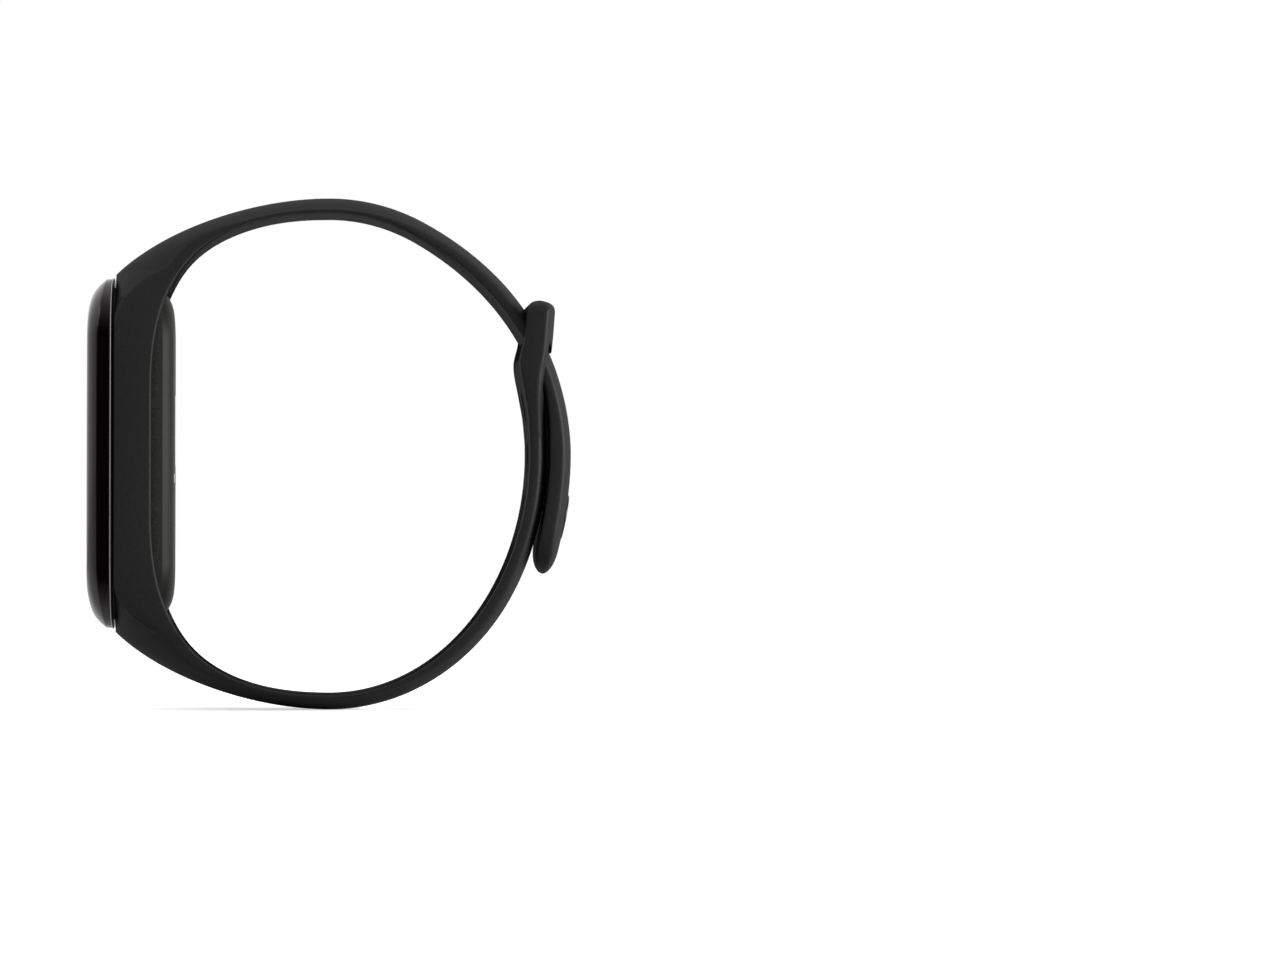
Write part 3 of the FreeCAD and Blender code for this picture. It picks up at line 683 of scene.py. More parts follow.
def early_slope(front, x, z):
    """The shoulder's slope starts along an arc around the capsule's end: how far back this puts a point."""
    z = abs(z)
    lead = SLOPE_ARC - math.sqrt(SLOPE_ARC ** 2 - min(abs(x), SLOPE_REACH) ** 2)
    fade = 1.0 - smooth_step((z - RIM_CORNER_Z) / SLOPE_FADE)
    ease = SLOPE_EASE[0] * smooth_step(abs(x) / SLOPE_EASE[1]) * fade
    around = [level_at(front, z + lead * fade + ease * share) for share in steps(-1.0, 1.0, 6)]
    return sum(around) / len(around) - level_at(front, z)


def pill(inset, level, count=200):
    """The capsule's outline, inset, as points with outward normals; sides bow out a little."""
    half_width = PILL_HALF_WIDTH - inset
    radius = PILL_END_RADIUS - inset
    centre = PILL_HALF_LENGTH - PILL_END_RADIUS
    bow = half_width - radius
    side_radius = (half_width ** 2 - radius ** 2 + centre ** 2) / (2.0 * bow)
    side_centre = side_radius - half_width
    turn = math.atan2(centre, side_centre)
    side_length = 2.0 * side_radius * turn
    end_length = 2.0 * radius * (math.pi / 2.0 - turn)
    half_run = side_length + end_length
    points = []
    for i in range(count):
        run = 2.0 * half_run * i / count
        flip = -1 if run >= half_run else 1
        run -= half_run if run >= half_run else 0.0
        if run < side_length:
            angle = run / side_radius - turn
            x = side_radius * math.cos(angle) - side_centre
            z = side_radius * math.sin(angle)
        else:
            angle = turn + (run - side_length) / radius
            x = radius * math.cos(angle)
            z = centre + radius * math.sin(angle)
        points.append(((flip * x, level, flip * z), (flip * math.cos(angle), flip * math.sin(angle))))
    return points


def pill_prism(name, inset, y_from, y_to):
    """A plain block of the capsule's outline, used as a cutter."""
    loops = [[p for p, _ in pill(inset, y)] for y in (y_from, y_to)]
    return new_piece(name, *skin(loops), None)


def keeper_sections():
    """Sections of the lower arm's end: it widens, swells inwards and ends in a rounded head."""
    loops = []
    head_start = KEEPER_TOP_Z - KEEPER_HEAD_RADIUS
    places = steps(KEEPER_FOOT_Z, head_start, 34)[1:]
    places += [head_start + KEEPER_HEAD_RADIUS * math.sin(math.radians(a)) for a in steps(0.0, 82.0, 9)[1:]]
    for z in places:
        inner_y = through(KEEPER_INNER, z)
        outer_y = through(KEEPER_OUTER, z)
        past = max(0.0, (z - head_start) / KEEPER_HEAD_RADIUS)
        fullness = max(0.0, 1.0 - past ** KEEPER_HEAD_POWER) ** (1.0 / KEEPER_HEAD_POWER)
        middle = (inner_y + outer_y) / 2.0
        half = (outer_y - inner_y) / 2.0 * fullness
        widening = smooth_step((z - KEEPER_WIDENS[0]) / KEEPER_WIDENS[1])
        width = mix(ARM_HALF_WIDTH, KEEPER_HALF_WIDTH, widening)
        width -= KEEPER_HEAD_NARROWS * past * past
        inner = Vector((middle - half, z))
        outer = Vector((middle + half, z))
        swelling = smooth_step((z - KEEPER_SWELLS[0]) / KEEPER_SWELLS[1])
        crown = mix(CROWN_CLASP, KEEPER_CROWN, swelling) * mix(KEEPER_HEAD_CROWN, 1.0, fullness)
        loops.append(section(inner, outer, plain_width(width), crown))
    return loops


def slot_cutter():
    """What the keeper's slot takes out: the upper arm's path with room around it."""
    loops = []
    for angle in steps(*SLOT_ANGLES, 40):
        gap_in = SLOT_GAP * smooth_step((angle - SLOT_OPENS[0]) / SLOT_OPENS[1])
        inner = loop_point(angle, arm_lift(angle) - gap_in)
        outer = loop_point(angle, arm_lift(angle) + arm_thickness(angle) + SLOT_GAP)
        loops.append(section(inner, outer, plain_width(ARM_HALF_WIDTH + SLOT_SIDE_GAP), 0.0))
    return new_piece("slot_cutter", *skin(loops), None)


def middle_line(first, last, count):
    """Points along the lower arm's middle line."""
    return [loop_point(a, THICK_CLASP / 2.0) for a in steps(first, last, count)]


def angle_after(angle, distance):
    """The angle that lies this far along the lower arm from another angle."""
    step = math.copysign(0.05, distance)
    travelled = 0.0
    while travelled < abs(distance):
        here = loop_point(angle, THICK_CLASP / 2.0)
        angle += step
        travelled += (loop_point(angle, THICK_CLASP / 2.0) - here).length
    return angle


def outward_tilt(angle):
    """The turn about X, in radians, from +Y to the loop's outward normal."""
    turn = math.radians(angle)
    radius = loop_radius(angle)
    return math.atan2(radius * math.sin(turn) / LOOP_HEIGHT ** 2, radius * math.cos(turn) / LOOP_DEPTH ** 2)


def stand_on_loop(piece, angle, lift):
    """Take a mesh built along +Y at the origin and stand it on the loop, facing out."""
    y, z = loop_point(angle, lift)
    place = Matrix.Translation(Vector((0.0, y, z)) * MM) @ Matrix.Rotation(outward_tilt(angle), 4, "X")
    piece.data.transform(place)
    return piece


def hole_punches():
    """Geometry Nodes: oval punches at an even pitch along a line on the lower arm."""
    first = angle_after(STUD_ANGLE, HOLES_ABOVE * HOLE_PITCH)
    last = angle_after(STUD_ANGLE, -HOLES_BELOW * HOLE_PITCH)
    curve = bpy.data.curves.new("hole_line", "CURVE")
    curve.dimensions = "3D"
    spline = curve.splines.new("POLY")
    line = middle_line(first, last, 90)
    spline.points.add(len(line) - 1)
    for point, (y, z) in zip(spline.points, line):
        point.co = (0.0, y * MM, z * MM, 1.0)
    holder = place_object("hole_line", curve)

    tree = bpy.data.node_groups.new("holes_along_strap", "GeometryNodeTree")
    face = tree.interface
    face.new_socket("Line", in_out="INPUT", socket_type="NodeSocketGeometry")
    sizes = [("Hole count", "NodeSocketInt"), ("Hole width", "NodeSocketFloat"),
             ("Hole length", "NodeSocketFloat"), ("Punch depth", "NodeSocketFloat")]
    sockets = {label: face.new_socket(label, in_out="INPUT", socket_type=kind) for label, kind in sizes}
    face.new_socket("Punches", in_out="OUTPUT", socket_type="NodeSocketGeometry")
    entry = add(tree, "NodeGroupInput")
    spread = add(tree, "GeometryNodeResampleCurve", {"mode": "COUNT"},
                 {"Curve": entry.outputs["Line"], "Count": entry.outputs["Hole count"]})
    half_width = add(tree, "ShaderNodeMath", {"operation": "MULTIPLY", 1: 0.5},
                     {0: entry.outputs["Hole width"]})
    outline = add(tree, "GeometryNodeCurvePrimitiveCircle", {"Resolution": 40},
                  {"Radius": half_width.outputs[0]})
    # The circle is pulled apart in Y by the straight part's length, which makes it a stadium.
    straight = add(tree, "ShaderNodeMath", {"operation": "SUBTRACT"},
                   {0: entry.outputs["Hole length"], 1: entry.outputs["Hole width"]})
    half_straight = add(tree, "ShaderNodeMath", {"operation": "MULTIPLY", 1: 0.5}, {0: straight.outputs[0]})
    position = add(tree, "GeometryNodeInputPosition")
    parts = add(tree, "ShaderNodeSeparateXYZ", links={"Vector": position.outputs[0]})
    sign = add(tree, "ShaderNodeMath", {"operation": "SIGN"}, {0: parts.outputs["Y"]})
    pull = add(tree, "ShaderNodeMath", {"operation": "MULTIPLY"},
               {0: sign.outputs[0], 1: half_straight.outputs[0]})
    offset = add(tree, "ShaderNodeCombineXYZ", links={"Y": pull.outputs[0]})
    stadium = add(tree, "GeometryNodeSetPosition", links={
        "Geometry": outline.outputs["Curve"], "Offset": offset.outputs[0]})
    disc = add(tree, "GeometryNodeFillCurve", links={"Curve": stadium.outputs["Geometry"]})
    disc.mode = "NGONS"
    punch = add(tree, "GeometryNodeExtrudeMesh", {"Individual": False}, {
        "Mesh": disc.outputs["Mesh"], "Offset Scale": entry.outputs["Punch depth"]})
    both = add(tree, "GeometryNodeFlipFaces", links={"Mesh": disc.outputs["Mesh"]})
    whole = add(tree, "GeometryNodeJoinGeometry")
    tree.links.new(punch.outputs["Mesh"], whole.inputs["Geometry"])
    tree.links.new(both.outputs["Mesh"], whole.inputs["Geometry"])
    merged = add(tree, "GeometryNodeMergeByDistance", {"Distance": 1e-6},
                 {"Geometry": whole.outputs["Geometry"]})
    half_depth = add(tree, "ShaderNodeMath", {"operation": "MULTIPLY", 1: -0.5},
                     {0: entry.outputs["Punch depth"]})
    back = add(tree, "ShaderNodeCombineXYZ", links={"Z": half_depth.outputs[0]})
    centred = add(tree, "GeometryNodeTransform", links={
        "Geometry": merged.outputs["Geometry"], "Translation": back.outputs[0]})
    # Each punch's Z follows the line's outward normal, and its Y follows the line.
    tangent = add(tree, "GeometryNodeInputTangent")
    across = add(tree, "ShaderNodeVectorMath", {"operation": "CROSS_PRODUCT", 1: (1.0, 0.0, 0.0)},
                 {0: tangent.outputs[0]})
    upright = add(tree, "FunctionNodeAlignEulerToVector", {"axis": "Z"}, {"Vector": across.outputs[0]})
    turned = add(tree, "FunctionNodeAlignEulerToVector", {"axis": "Y", "pivot_axis": "Z"},
                 {"Rotation": upright.outputs[0], "Vector": tangent.outputs[0]})
    row = add(tree, "GeometryNodeInstanceOnPoints", links={
        "Points": spread.outputs["Curve"], "Instance": centred.outputs["Geometry"],
        "Rotation": turned.outputs[0]})
    real = add(tree, "GeometryNodeRealizeInstances", links={"Geometry": row.outputs["Instances"]})
    finish = add(tree, "GeometryNodeSetMaterial", {"Material": SILICONE},
                 {"Geometry": real.outputs["Geometry"]})
    exit_node = add(tree, "NodeGroupOutput")
    tree.links.new(finish.outputs["Geometry"], exit_node.inputs["Punches"])

    modifier = holder.modifiers.new("holes", "NODES")
    modifier.node_group = tree
    modifier[sockets["Hole count"].identifier] = HOLES_ABOVE + HOLES_BELOW + 1
    modifier[sockets["Hole width"].identifier] = HOLE_WIDTH * MM
    modifier[sockets["Hole length"].identifier] = HOLE_LENGTH * MM
    modifier[sockets["Punch depth"].identifier] = 3.0 * THICK_CLASP * MM
    graph = bpy.context.evaluated_depsgraph_get()
    graph.update()
    mesh = bpy.data.meshes.new_from_object(holder.evaluated_get(graph))
    punches = place_object("hole_punches", mesh)
    bpy.data.objects.remove(holder)
    return punches


def drop_end_cap(piece, level_y):
    """Remove the cap faces at the loop's bottom, where the two halves of the band are joined."""
    def at_bottom(vertex):
        """Whether a point lies on the cut at the loop's bottom."""
        return abs(vertex.co.y / MM - level_y) < 1e-3 and vertex.co.z < 0

    with editing(piece.data) as work:
        caps = [face for face in work.faces if all(at_bottom(v) for v in face.verts)]
        bmesh.ops.delete(work, geom=caps, context="FACES_ONLY")


def build_strap_band():
    """Cradle, shoulders, arms and keeper in one moulding."""
    upper = [arm_section(a, arm_lift(a)) for a in steps(TAIL_ANGLE, 90.0, 80)]
    bottom = arm_section(-90.0, 0.0)
    front = new_piece("strap_front", *skin(upper + cradle_sections() + [bottom]), SILICONE)
    window = pill_prism("window_cutter", SHELL_INSET - WINDOW_GAP, RIM_Y - 1.0, SHELL_HIGH[1] + 3.0)
    apply_boolean(front, window, "DIFFERENCE")
    foot_angle = math.degrees(math.atan2(KEEPER_FOOT_Z, LOOP_DEPTH))
    lower = [arm_section(a, 0.0) for a in steps(-90.0, foot_angle, 120)]
    rear = new_piece("strap_rear", *skin(lower + keeper_sections()), SILICONE)
    apply_boolean(rear, slot_cutter(), "DIFFERENCE")
    apply_boolean(rear, hole_punches(), "DIFFERENCE")
    for half in (front, rear):
        drop_end_cap(half, LOOP_Y)
    band = join([front, rear], "strap_moulding")
    shade(band, 42)
    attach(band, "strap")
    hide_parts("strap_band")
    return band


def tongue_sections():
    """The free end's hidden root, a little smaller than the arm around it."""
    loops = []
    for angle in steps(TAIL_ANGLE + TONGUE_SPAN, TAIL_ANGLE + TAIL_JOIN, 4):
        lift = arm_lift(angle)
        centre = Vector((0.0, *loop_point(angle, lift + arm_thickness(angle) / 2.0)))
        around = arm_section(angle, lift)
        loops.append([centre + (Vector(p) - centre) * TONGUE_SCALE for p in around])
    return loops


def tail_sections(tip_span):
    """The free tail, up to where its tip starts."""
    loops = []
    for angle in steps(TAIL_ANGLE - TAIL_JOIN, TIP_ANGLE + tip_span, 80):
        narrowing = smooth_step((TAIL_ANGLE - angle) / TAIL_NARROWS)
        width = mix(ARM_HALF_WIDTH, TAIL_HALF_WIDTH, narrowing)
        full = smooth_step((TAIL_FILLS - angle) / TAIL_FILLS)
        inner = loop_point(angle, arm_lift(angle) - TAIL_SINK * full)
        outer = loop_point(angle, arm_lift(angle) + arm_thickness(angle) + TAIL_SWELL * full)
        loops.append(section(inner, outer, plain_width(width), CROWN_CLASP))
    return loops


def tip_sections(tip_span):
    """The rounded tip: it narrows, and thins to a nose."""
    loops = []
    for turn in steps(0.0, 84.0, 16)[1:]:
        past = math.sin(math.radians(turn))
        angle = TIP_ANGLE + tip_span * (1.0 - past)
        round_plan = math.cos(math.radians(turn))
        width = TAIL_HALF_WIDTH - TIP_NARROWS * (1.0 - round_plan)
        nose = max(0.0, (past * TIP_LENGTH - (TIP_LENGTH - NOSE_LENGTH)) / NOSE_LENGTH)
        thinning = 1.0 - math.sqrt(max(0.03, 1.0 - nose * nose))
        low = arm_lift(angle) - TAIL_SINK
        high = arm_lift(angle) + arm_thickness(angle) + TAIL_SWELL
        inner = loop_point(angle, mix(low, high, NOSE_INNER * thinning))
        outer = loop_point(angle, mix(high, low, NOSE_OUTER * thinning))
        loops.append(section(inner, outer, plain_width(width), CROWN_CLASP * round_plan))
    return loops


def build_strap_tail():
    """The free end: a tongue inside the upper arm, then the tail to its rounded tip."""
    tip_span = math.degrees(TIP_LENGTH / (loop_radius(TIP_ANGLE) + TAIL_RISE))
    loops = tongue_sections() + tail_sections(tip_span) + tip_sections(tip_span)
    tail = new_piece("strap_free_end", *skin(loops), SILICONE, sharp_angle=50)
    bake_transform(tail)
    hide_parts("strap_tail")
    return tail


def lathe(name, profile, material, sharp_angle=35, count=64):
    """A turned piece about +Y from (radius, y) points; its ends close on the axis."""
    loops = []
    for radius, y in profile:
        ring = []
        for i in range(count):
            angle = 2.0 * math.pi * i / count
            ring.append((radius * math.cos(angle), y, radius * math.sin(angle)))
        loops.append(ring)
    return new_piece(name, *skin(loops), material, sharp_angle)


def arc_profile(radius_at, y_at, radius, start, end, count=6):
    """Points of a quarter round in a turned profile."""
    points = []
    for turn in steps(start, end, count):
        angle = math.radians(turn)
        points.append((radius_at + radius * math.cos(angle), y_at + radius * math.sin(angle)))
    return points


def build_stud():
    """The clasp's rivet: a low domed head in the tail's face, and the pin that a hole takes."""
    thickness = arm_thickness(STUD_ANGLE)
    face = thickness + TAIL_SWELL
    rim = face + STUD_PROUD
    under = face - STUD_HEAD_DEPTH
    pin_end = -(arm_lift(STUD_ANGLE) - STUD_PIN_GAP)
    profile = [(0.05, pin_end)]
    profile += arc_profile(STUD_PIN_EDGE, pin_end + STUD_PIN_EDGE, STUD_PIN_EDGE, -90.0, 0.0)
    profile += [(2.0 * STUD_PIN_EDGE, -0.02), (STUD_SHANK_RADIUS, 0.05)]
    profile += [(STUD_SHANK_RADIUS, under), (STUD_HEAD_RADIUS, under)]
    profile += arc_profile(STUD_HEAD_RADIUS - STUD_EDGE, rim - STUD_EDGE, STUD_EDGE, 0.0, 80.0)
    profile += [(radius, rim + rise) for radius, rise in STUD_DOME]
    stud = lathe("clasp_rivet", profile, STUD_METAL)
    stand_on_loop(stud, STUD_ANGLE, arm_lift(STUD_ANGLE))
    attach(stud, "tail")
    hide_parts("clasp_stud")
    return stud


# ---- the capsule -------------------------------------------------------------------
def domed_pill(name, inset, wall_y, face_y, side, end, toward, material, dip=None):
    """A pill-shaped cap: walls, a face that falls away towards its edges, and a closed back.

    side and end are (fall, reach, power): how far the face falls at the edge, over what distance
    in from the edge, and how sharply, along the sides and at the round ends.
    """
    count = 400
    outline = pill(inset, 0.0, count)
    most = PILL_END_RADIUS - inset - 0.15
    insets = [most * (i / FACE_RINGS) ** FACE_CROWDING for i in range(FACE_RINGS + 1)]
    loops = []

    def face_level(x, z, distance, normal):
        """The face's Y at a point this far in from the edge."""
        share = normal[1] ** 2
        fall = mix(side[0], end[0], share)
        reach = mix(side[1], end[1], share)
        power = mix(side[2], end[2], share)
        depth = fall * max(0.0, 1.0 - distance / reach) ** power
        if dip:
            centre_z, radius, dip_depth = dip
            depth += dip_depth * smooth_step((radius - math.hypot(x, z - centre_z)) / (radius * 0.3))
        return face_y - toward * depth

    wall_levels = 6
    tops = [face_level(p[0], p[2], 0.0, n) for p, n in outline]
    loops.append([(p[0], wall_y, p[2]) for p, n in outline])
    for row in range(1, wall_levels):
        share = row / wall_levels
        loops.append([(p[0], mix(wall_y, top, share), p[2]) for (p, n), top in zip(outline, tops)])
    for distance in insets:
        ring = []
        for p, n in outline:
            x = p[0] - n[0] * distance
            z = p[2] - n[1] * distance
            ring.append((x, face_level(x, z, distance, n), z))
        loops.append(ring)
    piece = new_piece(name, *skin(loops), material, 48)
    slice_cap(piece, count)
    shade(piece, 48)
    return piece


def slice_cap(piece, corners):
    """Cut the long flat face along a dome's middle into short ones, so its tones run evenly."""
    with editing(piece.data) as work:
        caps = [f for f in work.faces if len(f.verts) == corners]
        band = [min(caps, key=lambda f: f.calc_area())]
        for z in steps(-PILL_HALF_LENGTH, PILL_HALF_LENGTH, 120):
            parts = [f for f in band if f.is_valid]
            edges = list({e for f in parts for e in f.edges})
            ends = list({v for f in parts for v in f.verts})
            cut = bmesh.ops.bisect_plane(
                work, geom=parts + edges + ends, plane_co=(0.0, 0.0, z * MM), plane_no=(0.0, 0.0, 1.0))
            band = [g for g in cut["geom"] if isinstance(g, bmesh.types.BMFace)]


def build_lens():
    """The smoked cover, with a shallow dip over the touch pad."""
    pad_z = (TOUCH_LOW[2] + TOUCH_HIGH[2]) / 2.0
    lens = domed_pill("front_cover", LENS_INSET, LENS_HIGH[1], LENS_LOW[1], LENS_SIDE, LENS_END,
                      -1.0, COVER, (pad_z, TOUCH_RADIUS, TOUCH_DIP))
    # Painted shading on the touch pad: its grey grows lighter from its upper edge down to its lower edge.
    touch = lens.data.attributes.new("touch", "FLOAT", "POINT")
    for vertex in lens.data.vertices:
        x, z = vertex.co.x / MM, vertex.co.z / MM - pad_z
        inside = smooth_step((TOUCH_RADIUS - math.hypot(x, z)) / TOUCH_EDGE)
        tone = mix(*TOUCH_PAINTED_SHADE, smooth_step((z + TOUCH_RADIUS) / (2.0 * TOUCH_RADIUS)))
        touch.data[vertex.index].value = inside * tone
    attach(lens, "capsule")
    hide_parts("front_lens", "lens_mask", "touch_electrode", "display_adhesive")
    return lens


def build_ring():
    """The ring under the cover: a dark wall, and a painted highlight along its front edge."""
    low, high = RING_LOW[1], RING_HIGH[1]
    # (inset, Y): the back edge with its fine step, the outer wall, and the chamfered front edge.
    profile = [(RING_WALL, low), (0.25, low), (0.23, low), (0.07, low), (0.0, low + 0.08), (0.0, low + 0.11)]
    profile += [(0.0, high - 0.1), (0.12, high), (RING_WALL, high)]
    loops = [[p for p, _ in pill(inset, y, 240)] for inset, y in profile]
    points, faces = skin(loops + [loops[0]], closed=False)
    ring = new_piece("anodised_ring", points, faces, BEZEL, 30)
    # Painted highlight: the faces that look forwards are marked bright, the rest stay dark.
    cut = ring.data.attributes.new("cut", "FLOAT", "FACE")
    for face in ring.data.polygons:
        cut.data[face.index].value = 1.0 if face.normal.y < HIGHLIGHT_FACING else 0.0
    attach(ring, "capsule")
    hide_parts("bezel_ring")
    return ring


def build_shell():
    """The rear shell: textured side wall, smooth back that eases to the wrist."""
    shell = domed_pill("rear_shell", SHELL_INSET, SHELL_LOW[1], SHELL_HIGH[1], SHELL_SIDE, SHELL_END,
                       1.0, SHELL)
    texture = shell.data.attributes.new("texture", "FLOAT", "POINT")
    for vertex in shell.data.vertices:
        depth = SHELL_HIGH[1] - vertex.co.y / MM
        texture.data[vertex.index].value = smooth_step((depth - SMOOTH_BACK[0]) / SMOOTH_BACK[1])
    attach(shell, "capsule")
    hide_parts("rear_housing")
    return shell


def oval_loop(size_x, size_z, centre_z, level, inset, count=72):
    """A stadium outline, longer in Z."""
    radius = size_x / 2.0 - inset
    straight = (size_z - size_x) / 2.0
    loop = []
    for i in range(count):
        angle = 2.0 * math.pi * (i + 0.5) / count
        side = 1.0 if math.sin(angle) > 0 else -1.0
        loop.append((radius * math.cos(angle), level, centre_z + side * straight + radius * math.sin(angle)))
    return loop


def build_sensor_window():
    """The sensor's dark window, a touch proud of the shell, with an eased rim."""
    size_x = SENSOR_HIGH[0] - SENSOR_LOW[0]
    size_z = SENSOR_HIGH[2] - SENSOR_LOW[2]
    centre = (SENSOR_HIGH[2] + SENSOR_LOW[2]) / 2.0
    top = SENSOR_HIGH[1]
    profile = [(0.0, top - 1.0), (0.0, top + 0.02), (0.05, top + 0.06), (0.14, top + 0.08), (0.8, top + 0.11),
               (1.8, top + 0.13), (3.1, top + 0.14)]
    loops = [oval_loop(size_x, size_z, centre, y, inset) for inset, y in profile]
    window = new_piece("sensor_cover", *skin(loops), SENSOR_GLASS, 40)
    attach(window, "capsule")
    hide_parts("sensor_window")
    return window


# ---- the lit display ---------------------------------------------------------------
def stroke(points, width, closed=False):
    """Outline points and faces of a flat stroke with round ends, in the display's plane."""
    path = [Vector(p) for p in points]
    path = [p for i, p in enumerate(path) if (p - path[i - 1]).length > 1e-4]
    count = len(path)
    left = []
    right = []
    for i, point in enumerate(path):
        before = path[i - 1] if (closed or i > 0) else point
        after = path[(i + 1) % count] if (closed or i < count - 1) else point
        along = (after - before).normalized()
        side = Vector((-along.y, along.x)) * width / 2.0
        left.append(point + side)
        right.append(point - side)
    flat = left + right
    faces = [(i, i + 1, count + i + 1, count + i) for i in range(count - 1)]
    if closed:
        faces.append((count - 1, 0, count, 2 * count - 1))
        return flat, faces
    for end, towards in ((0, path[0] - path[1]), (count - 1, path[-1] - path[-2])):
        start = math.atan2(towards.y, towards.x) - math.pi / 2.0
        centre = path[end]
        fan = []
        for k in range(9):
            angle = start + math.pi * k / 8.0
            fan.append(len(flat))
            flat.append(centre + Vector((math.cos(angle), math.sin(angle))) * width / 2.0)
        faces.append(tuple(fan))
    return flat, faces


def loop_path(x, z, width, height, radius=None, count=10):
    """A closed path: a rounded rectangle about its centre."""
    radius = min(width, height) / 2.0 if radius is None else radius
    path = []
    for side_x, side_z, start in ((1, 1, 0), (-1, 1, 90), (-1, -1, 180), (1, -1, 270)):
        cx = x + side_x * (width / 2.0 - radius)
        cz = z + side_z * (height / 2.0 - radius)
        for turn in steps(start, start + 90, count):
            angle = math.radians(turn)
            path.append((cx + radius * math.cos(angle), cz + radius * math.sin(angle)))
    return path


def figure(shape, x, z, width, height, line):
    """Strokes of one figure, centred at x, z; its corners and bends are shares of its own size."""
    w = width - line
    h = height - line
    left, right, top, low = x - w / 2.0, x + w / 2.0, z + h / 2.0, z - h / 2.0
    if shape == "0":
        return [(loop_path(x, z, w, h), True)]
    if shape == "6":
        bowl = h * 0.58
        radius = w / 2.0
        stem = [(right, top - w * 0.38)]
        for turn in steps(14.0, 180.0, 12):
            angle = math.radians(turn)
            stem.append((x + radius * math.cos(angle), top - radius + radius * math.sin(angle)))
        stem.append((left, low + bowl / 2.0))
        return [(loop_path(x, low + bowl / 2.0, w, bowl), True), (stem, False)]
    if shape == "8":
        return [(loop_path(x, low + h * 0.27, w, h * 0.54), True),
                (loop_path(x, top - h * 0.2275, w * 0.9, h * 0.455), True)]
    if shape == "4":
        return [([(x + w * 0.12, top), (left, low + h * 0.24), (right, low + h * 0.24)], False),
                ([(right - w * 0.22, z + h * 0.1), (right - w * 0.22, low)], False)]
    if shape == "1":
        return [([(left, top - h * 0.22), (x + w * 0.1, top), (x + w * 0.1, low)], False)]
    return [([(left, low), (right, top)], False)]


def lit_piece(name, strokes, line, material):
    """One display element from strokes, laid just over the cover's face."""
    points = []
    faces = []
    level = LENS_LOW[1] - PRINT_LIFT
    for path, closed in strokes:
        flat, shapes = stroke(path, line, closed)
        start = len(points)
        points += [(p[0], level, p[1]) for p in flat]
        faces += [tuple(start + i for i in f) for f in shapes]
    return finish_print(name, points, faces, material)


def finish_print(name, points, faces, material):
    """Give a flat print its small thickness and its place on the capsule."""
    mesh = bpy.data.meshes.new(name)
    mesh.from_pydata([Vector(p) * MM for p in points], [], faces)
    mesh.materials.append(material)
    piece = place_object(name, mesh)
    with editing(mesh) as work:
        bmesh.ops.remove_doubles(work, verts=work.verts, dist=WELD)
        for face in work.faces:
            face.normal_update()
            if face.normal.y > 0:
                face.normal_flip()
    solid = piece.modifiers.new("thickness", "SOLIDIFY")
    solid.thickness = 0.02 * MM
    solid.offset = -1.0
    bake_modifiers(piece)
    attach(piece, "capsule")
    return piece


def build_display():
    """Time in large green figures, the date in small white ones, and two small signs."""
    # Each row's name and height, and each figure's shape, place and width.
    rows = [("lit_hours", 3.35, (("0", -1.75, 3.1), ("6", 1.85, 3.1))),
            ("lit_minutes", -3.0, (("4", -1.8, 3.4), ("8", 1.95, 3.2)))]
    for name, z, figures in rows:
        strokes = []
        for shape, x, width in figures:
            strokes += figure(shape, x, z, width, TIME_HEIGHT, TIME_LINE)
        lit_piece(name, strokes, TIME_LINE, GREEN_LIGHT)
    date = []
    for shape, x in (("0", -2.35), ("1", -1.15), ("/", -0.05), ("0", 1.1), ("1", 2.35)):
        date += figure(shape, x, -11.0, 1.15 if shape == "0" else 0.85, DATE_HEIGHT, DATE_LINE)
    lit_piece("lit_date", date, DATE_LINE, WHITE_LIGHT)
    week = []
    for day in range(7):
        x = (day - 3) * 0.95
        week.append(([(x, -9.25), (x, -7.85 if day == 2 else -8.55)], False))
    lit_piece("lit_week_bars", week, 0.42, WHITE_LIGHT)
    battery = [(loop_path(4.35, 12.7, 2.5, 1.3, 0.15, 3), True), ([(5.9, 12.95), (5.9, 12.45)], False)]
    lit_piece("lit_battery_outline", battery, 0.2, WHITE_LIGHT)
    level = LENS_LOW[1] - PRINT_LIFT
    corners = [(3.35, level, 12.3), (4.85, level, 12.3), (4.85, level, 13.1), (3.35, level, 13.1)]
    finish_print("lit_battery_level", corners, [(0, 1, 2, 3)], GREEN_LIGHT)
    bars = []
    for i, height in enumerate((0.7, 1.3, 1.9)):
        x = -5.5 + i * 0.75
        bars.append(([(x, 11.6), (x, 11.6 + height)], False))
    lit_piece("lit_signal_bars", bars, 0.38, WHITE_LIGHT)


# ---- finishes ----------------------------------------------------------------------
SILICONE = silicone_rubber()
COVER = smoked_cover()
BEZEL = bezel_metal()
SHELL = shell_plastic()
# Steel, turned and black coated: smooth, with a tight highlight.
STUD_METAL = grained("steel_turned_black_coated", "#1D1D1F", "#242426", 0.12,
                     {"Metallic": 0.6, "Roughness": 0.28}, 0.0003)
# Polycarbonate tinted for infrared, polished: near black and glossy.
SENSOR_GLASS = grained("polycarbonate_polished_infrared", "#0A0708", "#0D090B", 2.0,
                       {"IOR": 1.58, "Specular IOR Level": 0.25, "Roughness": 0.08}, 0.0001)
GREEN_LIGHT = lit_segment("oled_dots_green", "#7AB441", 1.0)
WHITE_LIGHT = lit_segment("oled_dots_white", "#F4F4F4", 1.0)

